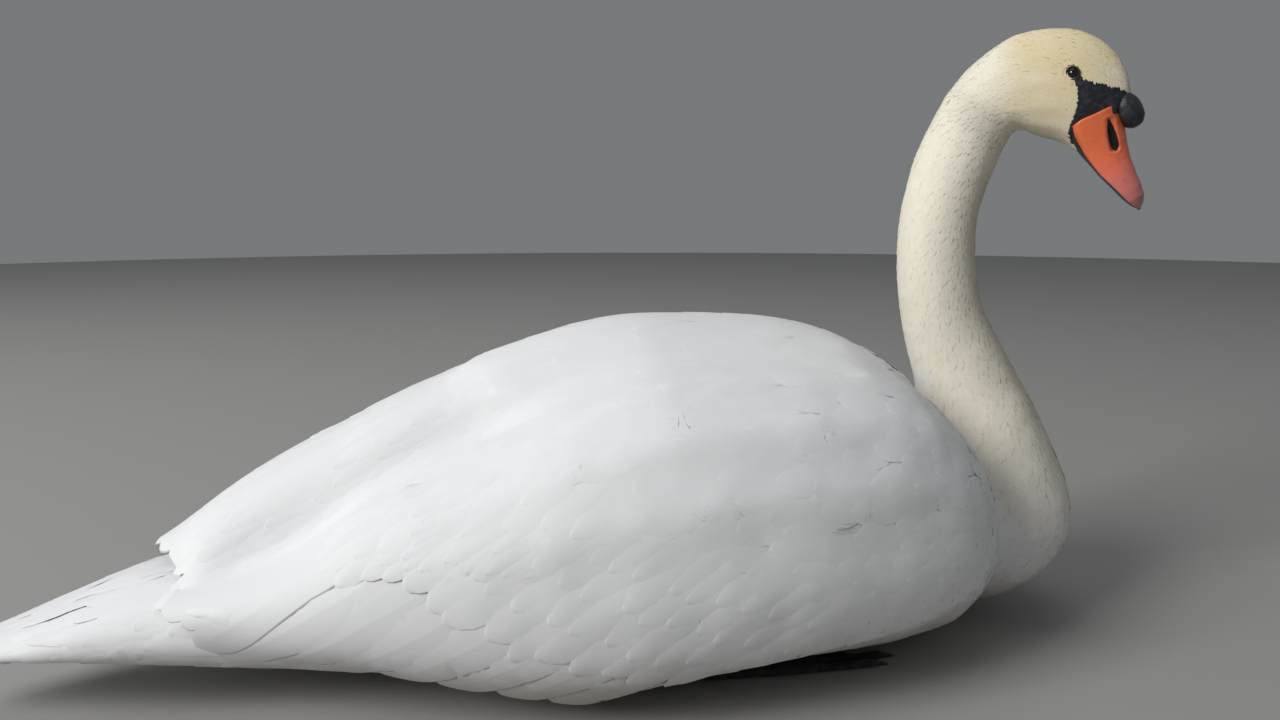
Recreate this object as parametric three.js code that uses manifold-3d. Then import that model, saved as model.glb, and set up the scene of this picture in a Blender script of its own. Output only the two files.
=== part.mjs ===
// A mute swan resting on the ground: a life-size still model, parted into the pieces a person would name.
//
// Units are millimetres. +X points to the breast, +Y to the bird's left, +Z up. The origin lies on the
// floor under the middle of the belly. The neck rises in an S and the head turns to the bird's right.

import * as THREE from 'three';
import { mergeVertices } from 'three/addons/utils/BufferGeometryUtils.js';
import Module from 'manifold-3d';

const wasm = await Module();
wasm.setup();

// ---------------------------------------------------------------- driving dimensions

const GAP = 0.3;                  // clearance between touching pieces
const CUT = GAP / 2;              // each side's share of a parting cut
const TAIL_TIP_X = -586;
const TRUNK_FRONT_X = 165;
const RUMP_X = -330;              // parting plane between trunk and rump
const TAIL_X = -440;              // parting plane between rump and tail
const BACK_FRONT_X = 112;         // front of the mantle
const BACK_REAR_X = -241;         // rounded rear end of the scapulars
const BACK_HALF_WIDTH = 60;
const BACK_EDGE = 3;              // how far the scapulars' edge stands over the wing
const BACK_DEPTH = 45;
const BACK_REAR_ROUNDING = 70;
const BACK_FRONT_ROUNDING = 50;
const BACK_END_WIDTH = 4;
const WING_FRONT_X = 141;
const WING_REAR_X = { right: -430, left: -441 };
const WING_EDGE_THICKNESS = 2.2;
const SCALLOP_PITCH = 42;         // spacing of the flight feathers along the wing's lower edge
const SCALLOP_REACH = 0.12;       // how far each feather's end swings below the edge, in radians
const WING_STEP = SCALLOP_PITCH / 2;
const PRIMARY_ROOT_X = -250;
const PRIMARY_TIP_X = -437;
const HEAD_AT = [222, -30, 428.5];  // on the head's middle plane, level with the eyes
const HEAD_TURN = -37.8;          // degrees about Z, to the bird's right
const BILL_DROOP = 55;            // degrees below the horizontal
const EYE_RADIUS = 6.4;
const EYE_SIDE = 18.0;            // eye centre to the head's middle plane
const KNOB_SIZE = [11.5, 10, 10.5];
const KNOB_AT = [49.5, 0, 12.5];
const FOOT_AT = [-78, 72, 0];     // root of the front toes of the left foot
const FOOT_HEIGHT = 11;
const LEG_HEIGHT = 20;
const TOE_LENGTHS = { inner: 104, middle: 134, outer: 124 };
const TOE_ANGLES = { inner: 7, middle: -0.5, outer: -8 };
const TOE_CURL = 0.35;            // how far the toes bend back in line towards their tips
const CLAW_LENGTH = 13;
const WEB_THICKNESS = 2.4;

const FEATHER = { color: 0xf3f3f1, roughness: 0.75, metalness: 0 };
const IVORY = { color: 0xeae4d2, roughness: 0.8, metalness: 0 };
const CREAM = { color: 0xe3d6b4, roughness: 0.8, metalness: 0 };
const ORANGE = { color: 0xcf5230, roughness: 0.45, metalness: 0 };
const PINK = { color: 0xc96a62, roughness: 0.45, metalness: 0 };
const BLACK_SKIN = { color: 0x1b1b1e, roughness: 0.55, metalness: 0 };
const EYE_GLASS = { color: 0x120c0a, roughness: 0.08, metalness: 0 };
const LEG_SKIN = { color: 0x2b2b2d, roughness: 0.6, metalness: 0 };
const CLAW_HORN = { color: 0x151515, roughness: 0.4, metalness: 0 };

// ---------------------------------------------------------------- curves through a few sizes

const radians = THREE.MathUtils.degToRad;
const mix = THREE.MathUtils.lerp;

// A smooth function of x through [x, value] pairs that never swings past them.
function sizes(...pairs) {
  const keys = pairs.slice().sort((a, b) => a[0] - b[0]);
  const slopes = keys.slice(1).map((k, i) => (k[1] - keys[i][1]) / (k[0] - keys[i][0]));
  const bends = keys.map((_, i) => {
    if (i === 0) return slopes[0];
    if (i === keys.length - 1) return slopes[i - 1];
    const [before, after] = [slopes[i - 1], slopes[i]];
    return before * after <= 0 ? 0 : (2 * before * after) / (before + after);
  });
  return (x) => {
    if (x <= keys[0][0]) return keys[0][1];
    if (x >= keys.at(-1)[0]) return keys.at(-1)[1];
    const i = keys.findIndex((k) => k[0] > x) - 1;
    const span = keys[i + 1][0] - keys[i][0];
    const t = (x - keys[i][0]) / span;
    const rise = keys[i + 1][1] - keys[i][1];
    const ease = t * t * (3 - 2 * t);
    const bow = t * (1 - t) * (bends[i] * (1 - t) - bends[i + 1] * t) * span;
    return keys[i][1] + rise * ease + bow;
  };
}

function stations(from, to, count) {
  return Array.from({ length: count + 1 }, (_, i) => mix(from, to, i / count));
}

// ---------------------------------------------------------------- solids

// A closed solid through rings of equal point count, capped at both ends.
function loft(rings) {
  const count = rings[0].length;
  const points = rings.flat();
  const faces = [];
  for (let r = 0; r + 1 < rings.length; r += 1) {
    for (let i = 0; i < count; i += 1) {
      const j = (i + 1) % count;
      const [a, b] = [r * count + i, r * count + j];
      const [c, d] = [a + count, b + count];
      faces.push(a, b, d, a, d, c);
    }
  }
  const last = (rings.length - 1) * count;
  for (const [base, flip] of [[0, true], [last, false]]) {
    const centre = new THREE.Vector3();
    for (let i = 0; i < count; i += 1) centre.addScaledVector(points[base + i], 1 / count);
    const hub = points.push(centre) - 1;
    for (let i = 0; i < count; i += 1) {
      const j = (i + 1) % count;
      faces.push(hub, base + (flip ? j : i), base + (flip ? i : j));
    }
  }
  return outward(closed(points, faces));
}

function closed(points, faces) {
  const geometry = new THREE.BufferGeometry().setFromPoints(points);
  geometry.setIndex(faces);
  return geometry;
}

function volume(geometry) {
  const at = geometry.attributes.position;
  const [a, b, c] = [0, 1, 2].map(() => new THREE.Vector3());
  let sum = 0;
  for (let i = 0; i < geometry.index.count; i += 3) {
    a.fromBufferAttribute(at, geometry.index.getX(i));
    b.fromBufferAttribute(at, geometry.index.getX(i + 1));
    c.fromBufferAttribute(at, geometry.index.getX(i + 2));
    sum += a.dot(b.cross(c)) / 6;
  }
  return sum;
}

// Turns a closed mesh so that its faces point out.
function outward(geometry) {
  if (volume(geometry) >= 0) return geometry;
  const index = Array.from(geometry.index.array);
  for (let i = 0; i < index.length; i += 3) [index[i], index[i + 1]] = [index[i + 1], index[i]];
  geometry.setIndex(index);
  return geometry;
}

function solid(geometry) {
  const bare = geometry.clone();
  for (const name of Object.keys(bare.attributes)) if (name !== 'position') bare.deleteAttribute(name);
  const merged = mergeVertices(bare, 1e-4);
  const vertProperties = Float32Array.from(merged.attributes.position.array);
  const triVerts = Uint32Array.from(merged.index.array);
  return new wasm.Manifold(new wasm.Mesh({ numProp: 3, vertProperties, triVerts }));
}

function largest(body) {
  return body.decompose().reduce((best, part) => (part.volume() > best.volume() ? part : best));
}

function geometryOf(body) {
  const mesh = body.getMesh();
  const geometry = new THREE.BufferGeometry();
  geometry.setAttribute('position', new THREE.BufferAttribute(Float32Array.from(mesh.vertProperties), 3));
  geometry.setIndex(Array.from(mesh.triVerts));
  return geometry;
}

// A slab through the whole bird whose side view is the given outline of [x, z] points.
function sidePrism(outline, fromY = -300, toY = 300) {
  const shape = new THREE.Shape(outline.map(([x, z]) => new THREE.Vector2(x, z)));
  const geometry = new THREE.ExtrudeGeometry(shape, { depth: toY - fromY, bevelEnabled: false });
  geometry.rotateX(Math.PI / 2);
  geometry.translate(0, toY, 0);
  return solid(geometry);
}

// A slab that spans the whole bird between two planes across X.
function crossSlab(fromX, toX) {
  return sidePrism([[fromX, -100], [toX, -100], [toX, 600], [fromX, 600]]);
}

const swan = new THREE.Group();

function place(name, body, finish, parent = swan) {
  const geometry = body.isBufferGeometry ? body : geometryOf(body);
  const mesh = new THREE.Mesh(geometry, new THREE.MeshStandardMaterial(finish));
  mesh.name = name;
  parent.add(mesh);
  return mesh;
}

// ---------------------------------------------------------------- trunk, rump and tail

// Seen from above, from the side along the back, and from the side along the belly and the widest line.
const trunkHalfWidth = sizes([-586, 3], [-575, 14], [-550, 30], [-520, 42], [-488, 51], [-440, 60],
  [-400, 71], [-350, 90], [-300, 108], [-240, 128], [-180, 143], [-120, 151], [-60, 153], [0, 149],
  [60, 138], [100, 124], [120, 112], [139, 95], [150, 79], [158, 60], [163, 38], [165, 8]);
const trunkTop = sizes([-586, 42], [-536, 58], [-488, 77], [-440, 94], [-400, 98], [-360, 109],
  [-320, 131], [-280, 153], [-240, 171], [-200, 191], [-160, 206], [-110, 219], [-60, 222], [0, 219],
  [60, 202], [110, 178], [140, 148], [158, 112], [165, 92]);
const trunkMiddle = sizes([-586, 41], [-540, 50], [-500, 54], [-440, 60], [-400, 68], [-300, 84],
  [-150, 98], [0, 100], [100, 95], [165, 82]);
const trunkBottom = sizes([-586, 39.5], [-540, 43], [-500, 42], [-460, 36], [-440, 32], [-400, 26],
  [-300, 15], [-230, 7], [-180, 1], [-140, -3], [60, -3.5], [100, -2], [125, 5], [147, 22], [160, 46],
  [165, 72]);
const TRUNK_POINTS = 18;
const SIDE_SQUARENESS = 0.92;     // below 1 the cross section is fuller than an ellipse
const TOP_SQUARENESS = 0.96;

function trunkRing(x, grow) {
  const across = trunkHalfWidth(x) + grow;
  return Array.from({ length: TRUNK_POINTS }, (_, i) => {
    const turn = (i / TRUNK_POINTS) * 2 * Math.PI;
    const up = Math.sin(turn);
    const side = Math.sign(Math.cos(turn)) * Math.abs(Math.cos(turn)) ** SIDE_SQUARENESS;
    const height = up > 0 ? trunkTop(x) - trunkMiddle(x) : trunkMiddle(x) - trunkBottom(x);
    const z = trunkMiddle(x) + Math.sign(up) * Math.abs(up) ** TOP_SQUARENESS * (height + grow);
    return new THREE.Vector3(x, across * side, Math.max(z, 0));
  });
}

function trunkLoft(grow = 0) {
  const front = [TRUNK_FRONT_X, 163, 157, 146, 130];
  const middle = stations(106, -412, 12);
  const rear = [-440, -475, -510, -540, -562, -578, TAIL_TIP_X];
  return solid(loft([...front, ...middle, ...rear].map((x) => trunkRing(x, grow))));
}

// ---------------------------------------------------------------- breast and neck

// The neck's line, from the crop on the floor up to the nape: [x, y, z], tilt in degrees from upright,
// half depth in the neck's own plane, half width across it, and turn to the bird's right.
const NECK_ROWS = [
  { at: [154, 0, 15], tilt: 0, depth: 30, width: 30 },
  { at: [161, 0, 22], tilt: 0, depth: 43, width: 43 },
  { at: [170, 0, 35], tilt: 0, depth: 58, width: 58 },
  { at: [177, 0, 54], tilt: 0, depth: 67, width: 71 },
  { at: [183, 0, 80], tilt: 0, depth: 70, width: 77 },
  { at: [184, 0, 106], tilt: -2, depth: 66, width: 71 },
  { at: [181, 0, 132], tilt: -5, depth: 58, width: 61 },
  { at: [175, 0, 158], tilt: -10, depth: 49, width: 51 },
  { at: [166, 0, 186], tilt: -17, depth: 41, width: 42.5 },
  { at: [153, 0, 214], tilt: -20, depth: 36, width: 36.5 },
  { at: [138.5, -1, 246], tilt: -17, depth: 32, width: 32 },
  { at: [130.5, -3, 283], tilt: -7, depth: 30.6, width: 30.5 },
  { at: [130, -4, 321], tilt: 5, depth: 29.8, width: 30, turn: 6 },
  { at: [139, -4, 355], tilt: 20, depth: 30.2, width: 29.5, turn: 13 },
  { at: [151, -3, 380], tilt: 36, depth: 30.6, width: 29, turn: 20 },
];

// Rings round the head, each from a point on the crown line to a point on the throat line, as
// [forward, up] from the eye in the head's middle plane, with the half width and how far the cheek sags.
const HEAD_ROWS = [
  { crown: [-84, -2], throat: [-37, -41], width: 28.5, sag: 0.0 },
  { crown: [-67, 15.5], throat: [-25, -46.5], width: 28, sag: 0.02 },
  { crown: [-45, 30], throat: [-15.5, -49.5], width: 27.6, sag: 0.06 },
  { crown: [-21, 34], throat: [-8.5, -51.5], width: 27.2, sag: 0.1 },
  { crown: [2, 31.5], throat: [-2, -55], width: 25.6, sag: 0.12 },
  { crown: [20, 21.5], throat: [3.5, -58.5], width: 22.8, sag: 0.12 },
  { crown: [32, 8], throat: [7.5, -61.5], width: 19.4, sag: 0.1 },
  { crown: [38.5, -6.5], throat: [10.5, -64], width: 16.8, sag: 0.06 },
  { crown: [40.5, -18], throat: [13, -66.5], width: 15.4, sag: 0.03 },
];
const NECK_POINTS = 14;

function headPoint([forward, up]) {
  const turn = radians(HEAD_TURN);
  return new THREE.Vector3(
    HEAD_AT[0] + forward * Math.cos(turn),
    HEAD_AT[1] + forward * Math.sin(turn),
    HEAD_AT[2] + up,
  );
}

// Every ring as a centre, the direction to its upper (nape) side, its lateral direction and its sizes.
function neckFrames() {
  const neck = NECK_ROWS.map(({ at, tilt, depth, width, turn = 0 }) => {
    const lean = radians(tilt);
    const yaw = radians(-turn);
    const flat = -Math.cos(lean);
    const back = new THREE.Vector3(flat * Math.cos(yaw), flat * Math.sin(yaw), Math.sin(lean));
    const left = new THREE.Vector3(-Math.sin(yaw), Math.cos(yaw), 0);
    return { centre: new THREE.Vector3(...at), back, left, depth, width, sag: 0 };
  });
  const yaw = radians(HEAD_TURN);
  const head = HEAD_ROWS.map(({ crown, throat, width, sag }) => {
    const top = headPoint(crown);
    const low = headPoint(throat);
    const back = top.clone().sub(low).normalize();
    const left = new THREE.Vector3(-Math.sin(yaw), Math.cos(yaw), 0);
    const centre = top.clone().add(low).multiplyScalar(0.5);
    return { centre, back, left, depth: top.distanceTo(low) / 2, width, sag };
  });
  return [...neck, ...head];
}

// Smooth in-between rings, so that the neck bends without corners.
function refined(frames, steps) {
  const line = new THREE.CatmullRomCurve3(frames.map((f) => f.centre), false, 'centripetal');
  const result = [];
  for (let i = 0; i + 1 < frames.length; i += 1) {
    for (let s = 0; s < steps; s += 1) {
      const t = s / steps;
      const [a, b] = [frames[i], frames[i + 1]];
      result.push({
        centre: line.getPoint((i + t) / (frames.length - 1)),
        back: a.back.clone().lerp(b.back, t).normalize(),
        left: a.left.clone().lerp(b.left, t).normalize(),
        depth: mix(a.depth, b.depth, t),
        width: mix(a.width, b.width, t),
        sag: mix(a.sag, b.sag, t),
      });
    }
  }
  result.push(frames.at(-1));
  return result;
}

function neckRing({ centre, back, left, depth, width, sag }, grow, slide = 0) {
  const along = new THREE.Vector3().crossVectors(left, back);
  return Array.from({ length: NECK_POINTS }, (_, i) => {
    const turn = ((i + 0.5) / NECK_POINTS) * 2 * Math.PI;
    const side = (width + grow) * Math.sin(turn) * (1 - sag * Math.cos(turn));
    const point = centre.clone().addScaledVector(back, (depth + grow) * Math.cos(turn));
    point.addScaledVector(left, side).addScaledVector(along, slide);
    point.z = Math.max(point.z, 0);
    return point;
  });
}

const NECK_STEPS = 2;
const neckLine = refined(neckFrames(), NECK_STEPS);

// The piece of the neck between two rows, shortened by half a parting gap at each cut end.
function neckLength(fromRow, toRow, grow = 0) {
  const first = fromRow * NECK_STEPS;
  const last = toRow * NECK_STEPS;
  const rings = [];
  for (let i = first; i <= last; i += 1) {
    const slide = i === first ? CUT : i === last ? -CUT : 0;
    rings.push(neckRing(neckLine[i], grow, slide));
  }
  return solid(loft(rings));
}

const NECK_CUTS = {
  breast: [0, 6],
  neck_base: [6, 9],
  neck_lower: [9, 11],
  neck_middle: [11, 13],
  neck_upper: [13, 15],
};
const HEAD_SPAN = [15, NECK_ROWS.length + HEAD_ROWS.length - 1];

// ---------------------------------------------------------------- wings

// Outer shape of the folded wing, by x: how far it stands out, and where its upper and lower edges run.
const wingOut = {
  right: sizes([-430, 60], [-415, 74], [-390, 87], [-350, 104], [-300, 122], [-240, 142], [-180, 157],
    [-120, 166], [-60, 168], [0, 163], [60, 151], [100, 136], [115, 124.5], [128, 112.5], [141, 93]),
  left: sizes([-441, 38], [-425, 56], [-400, 76], [-350, 101], [-300, 122], [-240, 142], [-180, 157],
    [-120, 166], [-60, 168], [0, 163], [60, 151], [100, 136], [115, 124.5], [128, 112.5], [141, 93]),
};
const wingMiddle = sizes([-441, 92], [-400, 84], [-350, 82], [-300, 86], [-200, 96], [-100, 102],
  [0, 103], [141, 96]);
const wingLow = sizes([-441, 90], [-415, 83], [-400, 77], [-385, 66], [-372, 58], [-340, 54],
  [-300, 48], [-260, 41], [-210, 32], [-165, 27], [-110, 32], [-60, 37], [0, 41], [60, 45], [100, 57],
  [141, 80]);
const crestHeight = sizes([-430, 88], [-404, 93], [-380, 100], [-343, 116], [-318, 135], [-289, 154],
  [-253, 170], [-220, 185], [-187, 203], [-150, 218], [-110, 230], [-40, 232], [20, 230], [65, 214],
  [97, 189], [119, 163], [133, 135], [141, 112]);
const CREST_SIDE = 50;

// Over the rump the left wing's tertials reach across the middle, so its upper edge climbs to a ridge.
const ridgeHeight = sizes([-441, 101], [-432, 107], [-411, 127], [-385, 145], [-358, 160], [-332, 173],
  [-305, 186], [-278, 199], [-250, 211], [-222, 222.5], [-194, 231], [-150, 238]);
const RIDGE_SIDE = 10;
const LAP_SIDE = -47;             // the lapping edge, beyond the middle line
const LAP_ROUNDING = 30;
const LAP_EDGE = 2;               // how far the lapping edge stands over the other wing
const RIDGE_FLAT = 40;
const acrossBack = sizes([-215, 1], [-140, 0]);

const WING_POINTS = 7;
const CREST_THINNING = 0.35;      // the shell's share of its thickness along its upper edge
const LOW_THINNING = 0.16;        // and along its lower edge
const LAP_POINTS = 3;
const LOW_END = radians(72);      // how far the section wraps under below its widest line
const LOW_SHARE = 0.73;           // the lower edge's place as a share of the half width
const SHOULDER_SQUARENESS = 0.85;

function scallop(x) {
  const t = (x - WING_REAR_X.right) / SCALLOP_PITCH;
  const phase = t - Math.floor(t);
  const fade = THREE.MathUtils.smoothstep(-x, 40, 140);
  return fade * (1 - (2 * phase - 1) ** 2) * SCALLOP_REACH;
}

// The shell is deep over the body, where the trunk's own surface then bounds it, and thin behind it.
const wingThickness = sizes([-441, 2.2], [-400, 4], [-310, 8], [-260, 18], [-200, 34], [141, 40]);

// One cross section of a wing as outer points from the upper edge to the lower, each with its normal.
function wingCurve(side, x) {
  const out = wingOut[side](x);
  const middle = wingMiddle(x);
  const over = side === 'left' ? acrossBack(x) : 0;
  const crestY = mix(CREST_SIDE, RIDGE_SIDE, over);
  const crest = crestHeight(Math.max(x, WING_REAR_X.right));
  const top = mix(crest, ridgeHeight(x), over);
  const lapWidth = over * (RIDGE_SIDE - LAP_SIDE * Math.min(1, (x - WING_REAR_X.left) / LAP_ROUNDING));
  const lapDrop = over * Math.max(top - crest - LAP_EDGE, 0) * Math.min(1, lapWidth / RIDGE_FLAT);
  const low = middle - (middle - wingLow(x)) / Math.sin(LOW_END);
  const lowY = out * LOW_SHARE;
  const end = LOW_END + scallop(x);
  const points = [];
  const lapPoints = side === 'left' ? LAP_POINTS : 0;
  for (let i = 0; i < lapPoints; i += 1) {
    const phi = (1 - i / lapPoints) * (Math.PI / 2);
    points.push([crestY - Math.sin(phi) * lapWidth, top - (1 - Math.cos(phi)) * lapDrop]);
  }
  for (let i = 0; i <= WING_POINTS; i += 1) {
    const phi = mix(Math.PI / 2, -end, i / WING_POINTS);
    if (phi >= 0) {
      const [across, up] = [Math.cos(phi) ** SHOULDER_SQUARENESS, Math.sin(phi) ** SHOULDER_SQUARENESS];
      points.push([mix(crestY, out, across), mix(middle, top, up)]);
    } else {
      points.push([mix(lowY, out, Math.cos(phi)), mix(middle, low, -Math.sin(phi))]);
    }
  }
  return points;
}

// The wing as a shell: the curve and the same curve set in by its thickness, thin at both edges.
function wingRing(side, x, grow) {
  const curve = wingCurve(side, x);
  for (const [edge, next] of [[0, 1], [curve.length - 1, curve.length - 2]]) {
    const [dy, dz] = [curve[edge][0] - curve[next][0], curve[edge][1] - curve[next][1]];
    const reach = grow / (Math.hypot(dy, dz) || 1);
    curve[edge] = [curve[edge][0] + dy * reach, curve[edge][1] + dz * reach];
  }
  const normals = curve.map((_, i) => {
    const [a, b] = [curve[Math.max(i - 1, 0)], curve[Math.min(i + 1, curve.length - 1)]];
    const [dy, dz] = [b[0] - a[0], b[1] - a[1]];
    const length = Math.hypot(dy, dz) || 1;
    return [-dz / length, dy / length];
  });
  const flip = side === 'right' ? -1 : 1;
  const outer = [];
  const inner = [];
  curve.forEach(([y, z], i) => {
    const s = i / (curve.length - 1);
    const edge = Math.min(1, CREST_THINNING + s * 6, LOW_THINNING + (1 - s) * 2.6);
    const deep = Math.max(WING_EDGE_THICKNESS, wingThickness(x) * edge);
    const [ny, nz] = normals[i];
    const below = -deep - grow;
    outer.push(new THREE.Vector3(x, flip * (y + ny * grow), z + nz * grow));
    inner.push(new THREE.Vector3(x, flip * (y + ny * below), z + nz * below));
  });
  return [...outer, ...inner.reverse()];
}

// Cross sections shared by the wings and the back, so that they meet along clean edges.
function featheredStations(fromX) {
  const count = Math.floor((-60 - WING_REAR_X.right) / WING_STEP);
  return stations(0, count, count).map((i) => WING_REAR_X.right + i * WING_STEP).filter((x) => x > fromX);
}
const SMOOTH_STATIONS = [-34, -2, 30, 62, 86, 104, 118];

function wingLoft(side, grow = 0) {
  const rear = WING_REAR_X[side];
  const along = [rear, ...featheredStations(rear), ...SMOOTH_STATIONS, 130, WING_FRONT_X];
  return solid(loft(along.map((x) => wingRing(side, x, grow))));
}

// Parting lines in side view. The coverts end along a slanting line, and a second line parts the long
// tertials above from the secondaries below.
const COVERT_LINE = [[-20, -20], [-205, 150], [-262, 330]];
const TERTIAL_LINE = [[-146.2, 96], [-300, 92], [-470, 76]];
const BEYOND_X = -600;
const BEYOND_Z = 330;

// The rounded front end of the folded wing in side view, from below to above.
function shoulderArc() {
  const [centreX, centreZ, reach, rise, steps] = [38, 117, 88, 98, 8];
  const arc = stations(-64, 64, steps).map((turn) => {
    const a = radians(turn);
    return [centreX + reach * Math.cos(a), centreZ + rise * Math.sin(a)];
  });
  return [[arc[0][0], COVERT_LINE[0][1]], ...arc, [arc.at(-1)[0], BEYOND_Z]];
}

function wingRegions() {
  const [low, bend, high] = COVERT_LINE;
  const shift = ([x, z], dx, dz = 0) => [x + dx, z + dz];
  const [crossing, ...tertialEdge] = TERTIAL_LINE;
  const rearEnd = [BEYOND_X, TERTIAL_LINE[2][1]];
  return {
    coverts: [shift(low, CUT), ...shoulderArc(), shift(high, CUT), shift(bend, CUT)],
    tertials: [
      shift(crossing, -CUT, CUT), shift(bend, -CUT), shift(high, -CUT), [BEYOND_X, BEYOND_Z],
      shift(rearEnd, 0, CUT), ...tertialEdge.slice().reverse().map((p) => shift(p, 0, CUT)),
    ],
    secondaries: [
      shift(crossing, -CUT, -CUT), ...tertialEdge.map((p) => shift(p, 0, -CUT)),
      shift(rearEnd, 0, -CUT), [BEYOND_X, low[1]], shift(low, -CUT),
    ],
  };
}

// The long primaries lie folded under the tertials and end in a narrow point over the tail.
const primarySide = sizes([PRIMARY_TIP_X, 18], [-430, 24], [-380, 31], [PRIMARY_ROOT_X, 33]);
const primaryWidth = sizes([PRIMARY_TIP_X, 3], [-427, 9], [-405, 12], [PRIMARY_ROOT_X, 13]);
const PRIMARY_LIFT = 2.5;         // above the rump
const PRIMARY_THICKNESS = 3.2;

function primaryLoft(flip) {
  const rings = stations(PRIMARY_ROOT_X, PRIMARY_TIP_X, 9).map((x) => {
    const centre = primarySide(x);
    const half = primaryWidth(x);
    const points = [];
    for (const [offset, sign] of [[PRIMARY_LIFT, 1], [PRIMARY_LIFT + PRIMARY_THICKNESS, -1]]) {
      for (const share of [-sign, 0, sign]) {
        const y = centre + share * half;
        points.push(new THREE.Vector3(x, flip * y, trunkHeight(x, y) + offset));
      }
    }
    return points;
  });
  return solid(loft(rings));
}

// Height of the trunk's upper surface over a point.
function trunkHeight(x, y) {
  const share = Math.min(Math.abs(y) / trunkHalfWidth(x), 0.985);
  const turn = Math.acos(share ** (1 / SIDE_SQUARENESS));
  return trunkMiddle(x) + Math.sin(turn) ** TOP_SQUARENESS * (trunkTop(x) - trunkMiddle(x));
}

// ---------------------------------------------------------------- back: mantle and scapulars

const backHeight = sizes([-241, 218], [-222, 228], [-194, 237], [-150, 249], [-110, 254], [-60, 253],
  [0, 248], [60, 229], [85, 213], [112, 184]);

// One cross section of the back: arched above, straight-sided and flat below.
function backRing(x) {
  const rear = THREE.MathUtils.clamp((x - BACK_REAR_X) / BACK_REAR_ROUNDING, 0, 1);
  const fore = THREE.MathUtils.clamp((BACK_FRONT_X - x) / BACK_FRONT_ROUNDING, 0, 1);
  const share = Math.sqrt(1 - (1 - rear) ** 2) * Math.sqrt(1 - (1 - fore) ** 2);
  const half = mix(BACK_END_WIDTH, BACK_HALF_WIDTH, share);
  const top = backHeight(x);
  const edge = crestHeight(x) + BACK_EDGE;
  const ends = [-1, -0.5, 0, 0.5, 1];
  const upper = ends.map((s) => {
    const y = half * s;
    return new THREE.Vector3(x, y, mix(top, edge, (y / BACK_HALF_WIDTH) ** 2));
  });
  const lower = [1, 0, -1].map((s) => new THREE.Vector3(x, half * s, top - BACK_DEPTH));
  return [...upper, ...lower];
}

// ---------------------------------------------------------------- bill and knob, in the bill's own frame

// x runs along the bill from the eye, z to the culmen. Sizes of the upper bill along x.
const culmen = sizes([33, 11], [45, 9.5], [55, 7.6], [70, 0.8], [83, -3.6], [94, -5], [102, -7.4],
  [108, -10.4], [112.5, -14]);
const tomium = sizes([33, -25.5], [57, -25.2], [67, -24.4], [79, -22.6], [90, -19.6], [100, -18.2],
  [112.5, -16]);
const billHalfWidth = sizes([33, 15.2], [60, 14.6], [80, 14.8], [94, 15.4], [102, 14], [108, 10],
  [112.5, 3]);
const BILL_BACK = 33;
const NAIL_BACK = 101;
const BILL_TIP = 112.5;

function billRing(x) {
  const top = culmen(x);
  const low = tomium(x);
  const half = billHalfWidth(x);
  const count = 8;
  const ring = Array.from({ length: count + 1 }, (_, i) => {
    const turn = mix(0, Math.PI, i / count);
    return new THREE.Vector3(x, half * Math.cos(turn), mix(low, top, Math.sin(turn) ** 0.8));
  });
  const palate = [0.5, -0.5].map((share) => new THREE.Vector3(x, -half * share, low + 1.2));
  return [...ring, ...palate];
}

function upperBill() {
  const along = [BILL_BACK, 46, 57, 68, 80, 92, 100, 106, 110, BILL_TIP];
  return solid(loft(along.map(billRing)));
}

const mandibleLow = sizes([44, -30.5], [60, -30.2], [80, -27.6], [95, -23.4], [106, -18.6]);

function lowerBill() {
  const rings = [44, 57, 70, 83, 93, 100, 104, 106].map((x) => {
    const half = Math.min(billHalfWidth(x) - 2.2, 1.5 + Math.sqrt(Math.max(106 - x, 0)) * 3.6);
    const top = tomium(x) - GAP;
    const low = Math.min(mandibleLow(x), top - 1.2);
    return Array.from({ length: 8 }, (_, i) => {
      const turn = (i / 8) * 2 * Math.PI;
      const up = Math.sin(turn);
      const z = up > 0 ? top - 0.2 * (1 - up) : mix(top, low, -up);
      return new THREE.Vector3(x, half * Math.cos(turn), z);
    });
  });
  return solid(loft(rings));
}

function ellipsoid([a, b, c], [x, y, z], wide = 10, high = 7) {
  const geometry = new THREE.SphereGeometry(1, wide, high);
  geometry.rotateX(Math.PI / 2);
  geometry.scale(a, b, c);
  geometry.translate(x, y, z);
  return solid(geometry);
}

// ---------------------------------------------------------------- feet

// A round piece along a line of [x, y, z, half width, half height] rows, flat on the floor.
function limb(rows, points = 8) {
  const rings = rows.map(([x, y, z, half, high], i) => {
    const [a, b] = [rows[Math.max(i - 1, 0)], rows[Math.min(i + 1, rows.length - 1)]];
    const heading = Math.atan2(b[1] - a[1], b[0] - a[0]);
    return Array.from({ length: points }, (_, k) => {
      const turn = ((k + 0.5) / points) * 2 * Math.PI;
      const side = half * Math.cos(turn);
      const up = Math.max(z + high * Math.sin(turn), 0);
      return new THREE.Vector3(x - side * Math.sin(heading), y + side * Math.cos(heading), up);
    });
  });
  return solid(loft(rings));
}

// Points along a toe of the left foot, from its root to its tip.
function toeLine(toe, count, from = 0, to = 1) {
  const length = TOE_LENGTHS[toe];
  return stations(from, to, count).map((share) => {
    const heading = radians(-TOE_ANGLES[toe] * (1 - TOE_CURL * share));
    const reach = length * share;
    return [FOOT_AT[0] + reach * Math.cos(heading), FOOT_AT[1] + reach * Math.sin(heading), share];
  });
}

function toe(name) {
  const rows = toeLine(name, 4).map(([x, y, share], i) => {
    const knuckle = 1 + 0.16 * Math.cos(i * Math.PI);
    const size = mix(5.6, 3.2, share) * knuckle;
    return [x, y, size * 0.72, size, size * 0.9];
  });
  return limb(rows, 6);
}

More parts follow.
